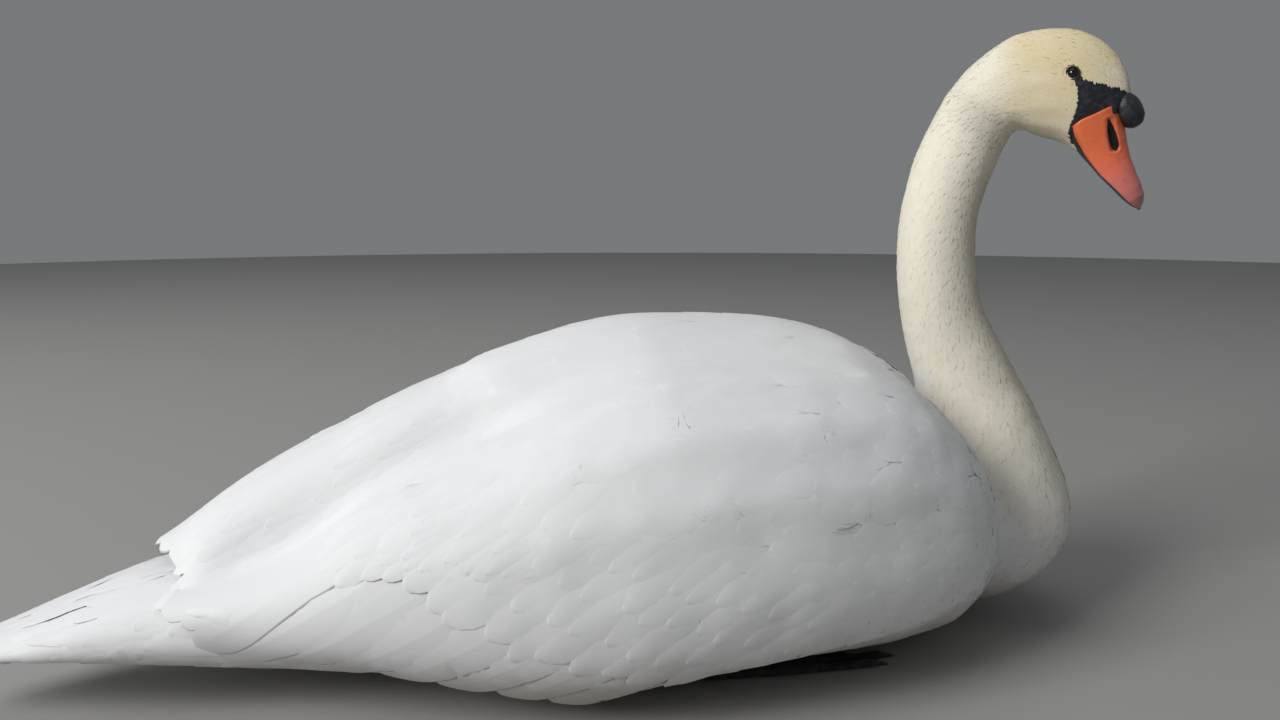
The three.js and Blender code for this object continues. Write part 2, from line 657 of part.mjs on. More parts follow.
function claw(name) {
  const [[x0, y0], [x1, y1]] = toeLine(name, 1, 0.9, 1);
  const heading = Math.atan2(y1 - y0, x1 - x0);
  const rows = [0, 0.5, 1].map((share) => {
    const reach = GAP + CLAW_LENGTH * share;
    const size = mix(3.4, 0.7, share);
    return [x1 + reach * Math.cos(heading), y1 + reach * Math.sin(heading), size * 0.8, size * 0.8, size];
  });
  return limb(rows, 6);
}

// The web's edge swings in between the toe tips.
function web() {
  const outer = toeLine('outer', 1, 0.93, 1)[0];
  const middle = toeLine('middle', 1, 0.93, 1)[0];
  const inner = toeLine('inner', 1, 0.93, 1)[0];
  const shape = new THREE.Shape();
  const pull = 0.86;
  const hollow = (a, b) => [
    FOOT_AT[0] + ((a[0] + b[0]) / 2 - FOOT_AT[0]) * pull,
    FOOT_AT[1] + ((a[1] + b[1]) / 2 - FOOT_AT[1]) * pull,
  ];
  shape.moveTo(FOOT_AT[0] - 4, FOOT_AT[1]);
  shape.lineTo(inner[0], inner[1]);
  shape.quadraticCurveTo(...hollow(inner, middle), middle[0], middle[1]);
  shape.quadraticCurveTo(...hollow(middle, outer), outer[0], outer[1]);
  shape.closePath();
  const options = { depth: WEB_THICKNESS, bevelEnabled: false, curveSegments: 4 };
  return solid(new THREE.ExtrudeGeometry(shape, options));
}

// The space that the leg and foot take under the belly, in plan.
function legRoom() {
  const half = 10;
  const [heel, tip] = [FOOT_AT[0] - 8, FOOT_AT[0] + TOE_LENGTHS.middle + CLAW_LENGTH + 2];
  const near = toeLine('inner', 1)[1];
  const far = toeLine('outer', 1)[1];
  const plans = [
    [[heel, 40], [near[0] + CLAW_LENGTH, near[1] - half], [tip, FOOT_AT[1] - half],
      [tip, FOOT_AT[1] + half], [far[0] + CLAW_LENGTH, far[1] + half], [heel, FOOT_AT[1] + half]],
    [[-196, 42], [-170, 44], [-108, 34], [heel + 16, 34], [heel + 16, 83], [-170, 68], [-196, 64]],
  ];
  const [toes, shin] = plans.map((plan, i) => {
    const height = i === 0 ? FOOT_HEIGHT : LEG_HEIGHT;
    const shape = new THREE.Shape(plan.map(([x, y]) => new THREE.Vector2(x, y)));
    const geometry = new THREE.ExtrudeGeometry(shape, { depth: 2 * height, bevelEnabled: false });
    return solid(geometry.translate(0, 0, -height));
  });
  return toes.add(shin);
}

const HIND_TOE = [[-84, 63, 4.5, 4, 4.5], [-92, 55, 4, 3.6, 4], [-98, 48, 3.2, 3, 3.2]];
const HIND_CLAW = [[-98.3, 47.6, 2.8, 2.2, 2.4], [-100.5, 43.5, 2, 1.5, 1.8], [-102, 41, 1.1, 0.6, 0.9]];
const TARSUS = [
  [-74, 72, 5.4, 7.4, 5.4],
  [-88, 70, 6.4, 6.6, 6.4],
  [-115, 66, 7.4, 6, 7.4],
  [-148, 60, 8.4, 6.4, 8.4],
  [-172, 56, 9.6, 8.4, 9.6],
  [-184, 55, 9.6, 8, 9.6],
  [-192, 54, 9, 5, 7],
];

// ---------------------------------------------------------------- assembly

const trunkWhole = trunkLoft();
const trunkGrown = trunkLoft(GAP);
const breastGrown = neckLength(0, 9, GAP);
const neckWhole = neckLength(0, 13, GAP);

const wings = { right: wingLoft('right'), left: wingLoft('left') };
const wingsRoom = wingLoft('right', 2 * GAP).add(wingLoft('left', 2 * GAP));
const wingsGrown = wingsRoom.add(wings.right).add(wings.left);

const mirror = (body, flip) => (flip < 0 ? body.mirror([0, 1, 0]) : body);
const SIDES = { left: 1, right: -1 };

const tarsus = limb(TARSUS);
const tarsusGrown = limb(TARSUS.map(([x, y, z, half, high]) => [x, y, z, half + GAP, high + GAP]));
const toes = toe('inner').add(toe('middle')).add(toe('outer')).add(limb(HIND_TOE, 6));
const foot = web().add(toes).subtract(tarsusGrown);

let belly = trunkWhole.subtract(breastGrown);
for (const flip of Object.values(SIDES)) {
  belly = belly.subtract(mirror(legRoom(), flip));
}

place('trunk', largest(belly.intersect(crossSlab(RUMP_X + CUT, 400))), FEATHER);
place('rump', largest(belly.intersect(crossSlab(TAIL_X + CUT, RUMP_X - CUT))), FEATHER);
place('tail', largest(belly.intersect(crossSlab(-700, TAIL_X - CUT))), FEATHER);

for (const [name, [from, to]] of Object.entries(NECK_CUTS)) {
  place(name, neckLength(from, to), name === 'breast' ? FEATHER : IVORY);
}

const backSections = [...featheredStations(BACK_REAR_X + 1), ...SMOOTH_STATIONS.slice(0, -1)];
const backAlong = [BACK_REAR_X, ...backSections, BACK_FRONT_X];
const back = solid(loft(backAlong.map(backRing)));
place('back', largest(back.subtract(trunkGrown).subtract(wingsGrown).subtract(neckWhole)), FEATHER);

const regions = wingRegions();
for (const [side, flip] of Object.entries(SIDES)) {
  const shell = wings[side].subtract(trunkGrown).subtract(neckWhole);
  for (const [name, outline] of Object.entries(regions)) {
    place(`wing_${side}_${name}`, largest(shell.intersect(sidePrism(outline))), FEATHER);
  }
  const primaries = primaryLoft(flip).subtract(trunkGrown).subtract(wingsGrown);
  place(`wing_${side}_primaries`, largest(primaries), FEATHER);

  place(`leg_${side}`, largest(mirror(tarsus, flip)), LEG_SKIN);
  place(`foot_${side}`, largest(mirror(foot, flip)), LEG_SKIN);
  for (const name of Object.keys(TOE_LENGTHS)) {
    place(`claw_${side}_${name}`, mirror(claw(name), flip), CLAW_HORN);
  }
  place(`claw_${side}_hind`, mirror(limb(HIND_CLAW, 6), flip), CLAW_HORN);
}

// The head's pieces share one turned group, placed at the eyes, with x along the bill.
const headGroup = new THREE.Group();
headGroup.position.set(...HEAD_AT);
headGroup.rotation.set(0, radians(BILL_DROOP), radians(HEAD_TURN), 'ZYX');
headGroup.updateMatrixWorld(true);
const toBillFrame = headGroup.matrixWorld.clone().invert();

const inBillFrame = (body) => solid(geometryOf(body).applyMatrix4(toBillFrame));
const skull = inBillFrame(neckLength(...HEAD_SPAN));
const skullGrown = inBillFrame(neckLength(...HEAD_SPAN, GAP));
const knob = ellipsoid(KNOB_SIZE, KNOB_AT);
const knobGrown = ellipsoid(KNOB_SIZE.map((r) => r + GAP), KNOB_AT);

const socketSize = Array(3).fill(EYE_RADIUS + 2 * GAP);
const sockets = [-1, 1].map((side) => ellipsoid(socketSize, [0, side * EYE_SIDE, 0]));
place('head', largest(skull.subtract(sockets[0]).subtract(sockets[1])), CREAM, headGroup);
const beak = upperBill().subtract(skullGrown).subtract(knobGrown);
place('bill_upper', largest(beak.intersect(crossSlab(0, NAIL_BACK - CUT))), ORANGE, headGroup);
place('bill_nail', largest(beak.intersect(crossSlab(NAIL_BACK + CUT, 200))), PINK, headGroup);
place('bill_lower', largest(lowerBill().subtract(skullGrown)), BLACK_SKIN, headGroup);
place('knob', largest(knob.subtract(skullGrown)), BLACK_SKIN, headGroup);
for (const [side, flip] of Object.entries(SIDES)) {
  const eyeball = ellipsoid(Array(3).fill(EYE_RADIUS), [0, flip * EYE_SIDE, 0]);
  place(`eye_${side}`, eyeball, EYE_GLASS, headGroup);
}
swan.add(headGroup);

export default swan;
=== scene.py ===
import math

import bpy
import numpy as np
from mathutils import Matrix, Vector, kdtree, noise
from mathutils.bvhtree import BVHTree


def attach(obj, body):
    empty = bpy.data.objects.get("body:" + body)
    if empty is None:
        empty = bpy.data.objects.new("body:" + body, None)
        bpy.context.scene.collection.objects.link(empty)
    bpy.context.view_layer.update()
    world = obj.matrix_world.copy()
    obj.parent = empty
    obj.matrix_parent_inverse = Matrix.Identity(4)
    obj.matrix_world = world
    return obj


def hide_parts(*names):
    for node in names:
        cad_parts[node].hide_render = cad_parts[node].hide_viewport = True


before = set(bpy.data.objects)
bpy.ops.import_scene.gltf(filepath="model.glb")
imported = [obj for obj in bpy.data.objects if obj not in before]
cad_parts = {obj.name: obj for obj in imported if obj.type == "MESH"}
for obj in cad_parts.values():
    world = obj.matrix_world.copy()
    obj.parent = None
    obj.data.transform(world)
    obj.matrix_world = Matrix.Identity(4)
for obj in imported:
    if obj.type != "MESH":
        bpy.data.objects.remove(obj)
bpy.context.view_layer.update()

# ---------------------------------------------------------------- camera
# The camera stands beside the swan's right flank, a little behind its middle and just above
# its back, and looks slightly down and forward.
CAMERA_AT = (-0.2725, -0.6677, 0.330)
CAMERA_DOWN = 9.2666
CAMERA_TURN = 14.0
camera = bpy.data.objects.new("camera", bpy.data.cameras.new("camera"))
camera.data.sensor_width = 36.0
camera.data.lens = 26.72
camera.data.clip_start = 0.01
camera.location = CAMERA_AT
camera.rotation_euler = (math.radians(90 - CAMERA_DOWN), 0, math.radians(-CAMERA_TURN))
bpy.context.scene.collection.objects.link(camera)
bpy.context.scene.camera = camera

# ---------------------------------------------------------------- floor and light
# A plain pale studio floor, one large soft key light above and behind the tail, a weak light
# from high overhead, and an even cool surround.
FLOOR_RADIUS = 6.0


def linked(name, data):
    """A new object that holds data, in the scene."""
    made = bpy.data.objects.new(name, data)
    bpy.context.scene.collection.objects.link(made)
    return made


def plain_material(name, colour, roughness, more=()):
    """A Principled material of one base colour, with its node tree and shader. more is pairs of an
    input of the shader and its value."""
    made = bpy.data.materials.new(name)
    made.use_nodes = True
    shader = made.node_tree.nodes["Principled BSDF"]
    for field, value in (("Base Color", (*colour, 1)), ("Roughness", roughness), *more):
        shader.inputs[field].default_value = value
    return made, made.node_tree, shader


floor_mesh = bpy.data.meshes.new("floor")
floor_mesh.from_pydata(
    [(FLOOR_RADIUS * math.cos(i * math.pi / 32), FLOOR_RADIUS * math.sin(i * math.pi / 32), -0.0004)
     for i in range(64)], [], [tuple(range(64))])
floor = linked("floor", floor_mesh)
floor_mesh.materials.append(plain_material("floor_paint", (0.34, 0.335, 0.325), 0.9)[0])

surround = bpy.data.worlds.new("surround")
surround.use_nodes = True
surround.node_tree.nodes["Background"].inputs["Color"].default_value = (0.93, 0.97, 1.0, 1)
surround.node_tree.nodes["Background"].inputs["Strength"].default_value = 0.20
bpy.context.scene.world = surround
bpy.context.scene.view_settings.view_transform = "Standard"

for name, place, aim, size, watts in (
    ("key_light", (-4.05, -1.5, 2.7), (-0.1, 0, 0.15), 2.0, 205),
    ("top_light", (-0.4, 0.3, 3.6), (-0.1, 0, 0.15), 2.6, 18),
):
    lamp = linked(name, bpy.data.lights.new(name, "AREA"))
    lamp.data.size = size
    lamp.data.energy = watts
    lamp.location = place
    lamp.rotation_euler = (Vector(aim) - Vector(place)).to_track_quat("-Z", "Y").to_euler()

# ---------------------------------------------------------------- skin
# One closed skin runs under the whole coat, from the tail to the base of the bill. The coat is
# fixed on it, so the forms that carry the feathers are made here too, from the frame's solids.
WINGS = {side: [f"wing_{side}_{part}" for part in ("coverts", "tertials", "secondaries", "primaries")]
         for side in ("right", "left")}
BODY_PARTS = ["trunk", "rump", "tail", "breast", "neck_base", "neck_lower", "neck_middle",
              "neck_upper", "head"]
SKIN_DEPTH = 0.0018
HEAD_SKIN_DEPTH = 0.0014
COAT_DEPTH = 0.0012
LUMPS = 0.0009


class Form:
    """A smooth closed surface round some of the frame's solids, that feathers are laid on. voxel is
    its grain, rounds how often it is relaxed, inset how far in it lies, and lumps its unevenness."""

    def __init__(self, parts, voxel, rounds, inset, finer=False, lumps=0.0):
        places, faces = solids(parts)
        mesh = bpy.data.meshes.new("form")
        mesh.from_pydata(places, [], faces)
        self.shaped(mesh, "REMESH", mode="VOXEL", voxel_size=voxel)
        self.relax(rounds)
        if finer:
            mesh = bpy.data.meshes.new("form")
            mesh.from_pydata(self.at.tolist(), [], self.faces)
            self.shaped(mesh, "SUBSURF", levels=1)
        if lumps:
            swell = np.array([noise.noise(Vector(p) * 26) + 0.5 * noise.noise(Vector(p) * 61)
                              for p in self.at])
            on_body = ramp(0.26 - self.at[:, 2], 0, 0.05)
            self.at += (lumps * swell * on_body)[:, None] * self.vertex_normals()
        self.grow(-inset)

    def shaped(self, mesh, kind, **values):
        holder = linked("form", mesh)
        change = holder.modifiers.new(kind, kind)
        for name, value in values.items():
            setattr(change, name, value)
        made = holder.evaluated_get(bpy.context.evaluated_depsgraph_get()).to_mesh()
        made.calc_loop_triangles()
        self.at = read(made.vertices, "co", 3)
        self.tri = read(made.loop_triangles, "vertices", 3, np.int32)
        self.edge = read(made.edges, "vertices", 2, np.int32)
        self.faces = [tuple(f.vertices) for f in made.polygons]
        bpy.data.objects.remove(holder)
        bpy.data.meshes.remove(mesh)

    def relax(self, rounds):
        """Takes the facets out and keeps the size: each round shrinks, then grows back."""
        a, b = self.edge.T
        n = len(self.at)
        met = np.bincount(self.edge.ravel(), minlength=n)[:, None]
        for _ in range(rounds):
            for share in (0.5, -0.515):
                mean = np.stack([np.bincount(a, self.at[b, k], n) + np.bincount(b, self.at[a, k], n)
                                 for k in range(3)], 1) / met
                self.at += share * (mean - self.at)

    def grow(self, by):
        self.at += by * self.vertex_normals()
        self.normal = self.vertex_normals()
        self.tree = BVHTree.FromPolygons(self.at.tolist(), self.tri.tolist())

    def vertex_normals(self):
        p, q, r = (self.at[self.tri[:, k]] for k in range(3))
        flat = np.cross(q - p, r - p)
        total = np.stack([np.bincount(self.tri.ravel(), np.repeat(flat[:, k], 3), len(self.at))
                          for k in range(3)], 1)
        return unit(total)

    def nearest(self, points):
        """The nearest place on the form to each point, and the smooth outward direction there."""
        shape = points.shape
        find = self.tree.find_nearest
        found = [find(p) for p in points.reshape(-1, 3).tolist()]
        place = np.array([f[0] for f in found])
        corner = self.tri[[f[2] for f in found]]
        near = 1 / (np.linalg.norm(self.at[corner] - place[:, None], axis=2) + 1e-5)
        normal = unit((self.normal[corner] * near[..., None]).sum(1))
        return place.reshape(shape), normal.reshape(shape)


def read(items, field, across, kind=float):
    """One value of every item of a mesh, as an array with so many columns."""
    found = np.empty(len(items) * across, kind)
    items.foreach_get(field, found)
    return found.reshape(-1, across)


def ridden(name, mesh, material):
    """A new piece of the body in one material, its mesh shaded smooth."""
    mesh.polygons.foreach_set("use_smooth", [True] * len(mesh.polygons))
    mesh.materials.append(material)
    piece = linked(name, mesh)
    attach(piece, "root")
    return piece


def solids(parts):
    """The corners and faces of some of the frame's solids, together."""
    places, faces = [], []
    for part in parts:
        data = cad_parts[part].data
        start = len(places)
        places += [tuple(v.co) for v in data.vertices]
        faces += [tuple(start + i for i in f.vertices) for f in data.polygons]
    return places, faces


def unit(v):
    return v / np.maximum(np.linalg.norm(v, axis=-1, keepdims=True), 1e-12)


def ramp(x, low, high):
    """0 below low, 1 above high, smooth between."""
    t = np.clip((x - low) / (high - low), 0, 1)
    return t * t * (3 - 2 * t)


def effect(name, inputs, outputs):
    """A new shader node group with the named sockets, its tree, and its input and output nodes."""
    tree = bpy.data.node_groups.new(name, "ShaderNodeTree")
    for label, kind, value in inputs:
        socket = tree.interface.new_socket(label, in_out="INPUT", socket_type="NodeSocket" + kind)
        socket.default_value = value
    for label, kind in outputs:
        tree.interface.new_socket(label, in_out="OUTPUT", socket_type="NodeSocket" + kind)
    return tree, tree.nodes.new("NodeGroupInput"), tree.nodes.new("NodeGroupOutput")


def node(tree, kind, links=(), **values):
    """A new node. links are (input, output socket of another node) or (input, plain value)."""
    made = tree.nodes.new("ShaderNode" + kind)
    for name, value in values.items():
        setattr(made, name, value)
    for socket, source in links:
        if isinstance(source, bpy.types.NodeSocket):
            tree.links.new(source, made.inputs[socket])
        else:
            made.inputs[socket].default_value = source
    return made


def sums(tree, operation, *values):
    """The output of a math node."""
    return node(tree, "Math", enumerate(values), operation=operation).outputs[0]


def between(tree, value, low, high):
    """0 where value is under low, 1 over high, smooth between."""
    return node(tree, "MapRange", ((0, value), (1, low), (2, high)),
                interpolation_type="SMOOTHSTEP").outputs[0]


def speckle(tree, scale, detail=2.0):
    """Noise that is fixed to the object."""
    place = node(tree, "TexCoord").outputs["Object"]
    return node(tree, "TexNoise", (("Vector", place), ("Scale", scale), ("Detail", detail))).outputs["Fac"]


def mapped(tree, name):
    """The node that parts the named UV map into its two numbers."""
    return node(tree, "SeparateXYZ", ((0, node(tree, "UVMap", (), uv_map=name).outputs[0]),))


def roughened(tree, shader, height, strength, distance):
    """Bump under the shader's normal."""
    bump = node(tree, "Bump", (("Height", height), ("Strength", strength), ("Distance", distance)))
    tree.links.new(bump.outputs[0], shader.inputs["Normal"])


def blend(tree, share, first, second):
    """Two colours mixed."""
    return node(tree, "Mix", ((0, share), (6, first), (7, second)), data_type="RGBA").outputs[2]


# Colours of the plumage, shared by the skin and every piece of coat: white on the body, ivory on
# the neck, stained and darkened with painted shade in front of it, cream on the head, and darker and browner
# with painted shade near the ground.
WHITE = (0.80, 0.80, 0.805, 1)
IVORY = (0.82, 0.770, 0.640, 1)
CREAM = (0.74, 0.625, 0.385, 1)
STAIN_AND_SHADE = (0.62, 0.55, 0.42, 1)
GROUND_SHADE = (0.44, 0.38, 0.29, 1)

markings, _, markings_out = effect("swan_markings", (), (("Color", "Color"),))
spot = node(markings, "TexCoord").outputs["Object"]
axes = node(markings, "SeparateXYZ", ((0, spot),))
wobble = sums(markings, "MULTIPLY_ADD", speckle(markings, 34.0, 3.0), 0.05, -0.025)
height = sums(markings, "ADD", axes.outputs[2], wobble)
up_neck = between(markings, height, 0.02, 0.17)
leaning = sums(markings, "MULTIPLY_ADD", axes.outputs[2], 0.45,
               sums(markings, "ADD", axes.outputs[0], wobble))
neck_share = sums(markings, "MULTIPLY", up_neck, between(markings, leaning, 0.190, 0.222))
colour = blend(markings, neck_share, WHITE, IVORY)
# The side of the neck that faces forward is stained, and darker still with painted shade, as it is turned
# away from the light.
front_line = node(markings, "FloatCurve", ((1, sums(markings, "DIVIDE", height, 0.5)),))
curve = front_line.mapping.curves[0]
for x, y in ((0.26, 0.215), (0.37, 0.185), (0.49, 0.155), (0.57, 0.140), (0.64, 0.139), (0.71, 0.150),
             (0.76, 0.164)):
    curve.points.new(x, y)
curve.points[0].location, curve.points[-1].location = (0.0, 0.24), (1.0, 0.3)
front_line.mapping.update()
ahead = sums(markings, "SUBTRACT", axes.outputs[0], front_line.outputs[0])
stain_and_shade = sums(markings, "MULTIPLY", between(markings, ahead, -0.006, 0.016), 0.70)
below_head = between(markings, axes.outputs[2], 0.372, 0.335)
stain_and_shade = sums(markings, "MULTIPLY", stain_and_shade, sums(markings, "MULTIPLY", below_head, neck_share))
colour = blend(markings, stain_and_shade, colour, STAIN_AND_SHADE)
for place, reach, share in (((0.216, -0.030, 0.440), 0.066, 0.85), ((0.205, -0.038, 0.412), 0.052, 0.75)):
    far = node(markings, "VectorMath", ((0, spot), (1, place)), operation="DISTANCE").outputs["Value"]
    far = sums(markings, "ADD", far, wobble)
    warm = sums(markings, "MULTIPLY", between(markings, far, reach, reach * 0.35), share)
    colour = blend(markings, warm, colour, CREAM)
# What lies near the ground, all but the tip of the tail, is darkened and browned with painted shade, the
# shade under the body.
low = between(markings, height, 0.066, 0.026)
low = sums(markings, "MULTIPLY", low, between(markings, axes.outputs[0], -0.54, -0.44))
colour = blend(markings, sums(markings, "MULTIPLY", low, 0.55), colour, GROUND_SHADE)
markings.links.new(colour, markings_out.inputs[0])


# Each vane is a little lighter or darker than the next, darkened by so much painted shade along its thin
# edge, the shadow line it would leave on the vane beneath, and has fine barbs that slant from its shaft.
# Barbs is how many lie along a vane.
vane_detail, vane_in, vane_out = effect(
    "vane_detail", (("Color", "Color", WHITE), ("Barbs", "Float", 80.0), ("EdgeShade", "Float", 0.0)),
    (("Color", "Color"), ("Height", "Float")))
tone = node(vane_detail, "Attribute", (), attribute_name="tone").outputs["Fac"]
lightness = sums(vane_detail, "MULTIPLY_ADD", tone, 0.035, 0.97)
vane = mapped(vane_detail, "vane")
across = sums(vane_detail, "ABSOLUTE", sums(vane_detail, "SUBTRACT", vane.outputs[0], 0.5))
# Painted shade: the outer edge of each vane is darkened, as the shadow line it would cast on the vane
# beneath.
edge_shade = sums(vane_detail, "MULTIPLY", between(vane_detail, across, 0.448, 0.482), vane_in.outputs["EdgeShade"])
lightness = sums(vane_detail, "SUBTRACT", lightness, edge_shade)
tinted = node(vane_detail, "VectorMath", ((0, vane_in.outputs["Color"]), (3, lightness)), operation="SCALE")
vane_detail.links.new(tinted.outputs[0], vane_out.inputs["Color"])
slanted = sums(vane_detail, "MULTIPLY_ADD", across, -0.12, vane.outputs[1])
turns = sums(vane_detail, "MULTIPLY", slanted, sums(vane_detail, "MULTIPLY", vane_in.outputs["Barbs"], 6.283))
vane_detail.links.new(sums(vane_detail, "SINE", turns), vane_out.inputs["Height"])


def plumage_material(name, barbs=0, ridge=0, edge=0.0):
    """White plumage with the swan's markings. barbs is how many lie along a vane, and none for
    the skin under the coat; ridge is how deep they are, and edge how much painted shade darkens a vane's
    edge."""
    made, tree, shader = plain_material(name, WHITE[:3], 0.72, (
        ("Sheen Weight", 0.06), ("Sheen Roughness", 0.5), ("Specular IOR Level", 0.25)))
    shades = node(tree, "Group", (), node_tree=markings)
    if barbs:
        shades = node(tree, "Group", (("Color", shades.outputs[0]), ("Barbs", barbs), ("EdgeShade", edge)),
                      node_tree=vane_detail)
    tree.links.new(shades.outputs[0], shader.inputs["Base Color"])
    if ridge:
        roughened(tree, shader, shades.outputs[1], 0.5, ridge)
    return made


FLESH = BODY_PARTS + WINGS["right"] + WINGS["left"] + ["back"]
rump_form = Form(["trunk", "rump", "tail"], 0.007, 40, COAT_DEPTH, True)
skin_form = Form(FLESH, 0.004, 60, HEAD_SKIN_DEPTH, lumps=LUMPS)
deeper = (SKIN_DEPTH - HEAD_SKIN_DEPTH) * (1 - ramp(skin_form.at[:, 2], 0.35, 0.38))
skin_form.at -= deeper[:, None] * skin_form.normal
# The lower edge of each wing, as its height at each place along the body.
WING_EDGE_X = (-0.430, -0.401, -0.380, -0.355, -0.304, -0.270, -0.237, -0.178, -0.150)
WING_EDGE_Z = (0.095, 0.066, 0.052, 0.045, 0.047, 0.045, 0.039, 0.028, 0.030)
x, z = skin_form.at[:, 0], skin_form.at[:, 2]
above_edge = z - np.interp(x, WING_EDGE_X, WING_EDGE_Z)
# Under the long feathers of the wings' sides the skin lies deeper.
UNDER_FLIGHT = 0.0034
hidden = (ramp(-x, 0.190, 0.215) * ramp(above_edge, 0.002, 0.010) * (1 - ramp(z, 0.135, 0.148))
          * ramp(np.abs(skin_form.at[:, 1]), 0.085, 0.098))
skin_form.at -= UNDER_FLIGHT * hidden[:, None] * skin_form.normal
# The ends and rear edges of the wings are all feather, so there it keeps to the rump.
flat = np.maximum(ramp(-x, 0.412, 0.428) * (z > 0.05),
                  ramp(-x, 0.325, 0.350) * (1 - ramp(above_edge, -0.001, 0.006)))
ends = np.flatnonzero(flat)
on_rump, outward = rump_form.nearest(skin_form.at[ends])
skin_form.at[ends] += flat[ends, None] * (on_rump - 0.0008 * outward - skin_form.at[ends])
skin_mesh = bpy.data.meshes.new("skin")
skin_mesh.from_pydata(skin_form.at.tolist(), [], skin_form.faces)
skin = ridden("skin", skin_mesh, plumage_material("skin_down"))
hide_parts(*FLESH)

# ---------------------------------------------------------------- contour feathers of the body
# Small soft white vanes that overlap like tiles from the shoulders to the rump and over the
# belly. Each is a thin closed blade, rooted on the skin, its tip a little clear of the next.

# The line up the middle of the neck, from the breast over the crown to the base of the bill.
NECK_LINE = np.array([
    (0.181, 0, 0.132), (0.175, 0, 0.158), (0.166, 0, 0.186), (0.153, 0, 0.214), (0.1385, -0.001, 0.246),
    (0.1305, -0.003, 0.283), (0.130, -0.004, 0.321), (0.139, -0.004, 0.355), (0.151, -0.003, 0.380),
    (0.166, -0.005, 0.404), (0.186, -0.011, 0.421), (0.207, -0.021, 0.424), (0.225, -0.033, 0.412),
    (0.237, -0.042, 0.394), (0.246, -0.049, 0.377)])


def drawn_through(points, count):
    """A smooth curve through the points, as count places evenly apart."""
    p = np.vstack([2 * points[0] - points[1], points, 2 * points[-1] - points[-2]])
    t = np.linspace(0, len(points) - 1.0001, count * 4)
    i = t.astype(int)
    u = (t - i)[:, None]
    a, b, c, d = p[i], p[i + 1], p[i + 2], p[i + 3]
    curve = 0.5 * (2 * b + (c - a) * u + (2 * a - 5 * b + 4 * c - d) * u ** 2
                   + (3 * b - a - 3 * c + d) * u ** 3)
    run = np.r_[0, np.cumsum(np.linalg.norm(np.diff(curve, axis=0), axis=1))]
    even = np.linspace(0, run[-1], count)
    return np.stack([np.interp(even, run, curve[:, k]) for k in range(curve.shape[1])], 1)


neck_curve = drawn_through(NECK_LINE, 240)
neck_way = unit(np.gradient(neck_curve, axis=0))
neck_run = np.r_[0, np.cumsum(np.linalg.norm(np.diff(neck_curve, axis=0), axis=1))]


def on_neck(points):
    """The nearest sample of the neck's line to each point, and how far off it is."""
    best = np.full(points.shape[:-1], 1e9)
    which = np.zeros(points.shape[:-1], int)
    for i, p in enumerate(neck_curve):
        far = ((points - p) ** 2).sum(-1)
        closer = far < best
        best[closer] = far[closer]
        which[closer] = i
    return which, np.sqrt(best)


def lie(points):
    """The way the coat lies: down the neck from the bill, then back along the body and wings."""
    which, far = on_neck(points)
    hold = 1 - ramp(far, 0.045, 0.11)
    hold = np.where((neck_run[which] > 0.12) & (far < 0.07), 1.0, hold)[..., None]
    x, y, z = points[..., 0], points[..., 1], points[..., 2]
    fall = -0.08 - 0.42 * ramp(-x, -0.02, 0.20) * ramp(np.abs(y), 0.05, 0.11) * ramp(z, 0.0, 0.08)
    back = unit(np.stack([-np.ones_like(x), -0.10 * np.sign(y) * ramp(-x, -0.05, 0.3), fall], -1))
    return unit(hold * -neck_way[which] + (1 - hold) * back)


def scattered(form, spacing, wanted, seed):
    """Places on the form, no two nearer than the spacing there."""
    random = np.random.default_rng(seed)
    p, q, r = (form.at[form.tri[:, k]] for k in range(3))
    centre = (p + q + r) / 3
    area = np.linalg.norm(np.cross(q - p, r - p), axis=1) / 2
    weight = area / spacing(centre) ** 2 * wanted(centre)
    count = int(weight.sum() * 5)
    face = random.choice(len(area), count, p=weight / weight.sum())
    u, v = random.random((2, count, 1))
    over = u + v > 1
    u, v = np.where(over, 1 - u, u), np.where(over, 1 - v, v)
    point = p[face] + u * (q - p)[face] + v * (r - p)[face]
    tree = kdtree.KDTree(count)
    for i, place in enumerate(point.tolist()):
        tree.insert(place, i)
    tree.balance()
    free = np.ones(count, bool)
    kept = []
    for i, (place, reach) in enumerate(zip(point.tolist(), spacing(point).tolist())):
        if free[i]:
            kept.append(i)
            for _, other, _ in tree.find_range(place, reach):
                free[other] = False
    return point[kept]


def crossed(rows, columns):
    """Two grids, one of each row's value and one of each column's."""
    return np.meshgrid(rows, columns, indexing="ij")


# Which columns of a vane of 3, 5 or 11 columns have a corner under them.
UNDER = {3: [1], 5: [3, 2, 1], 11: [9, 7, 5, 3, 1]}


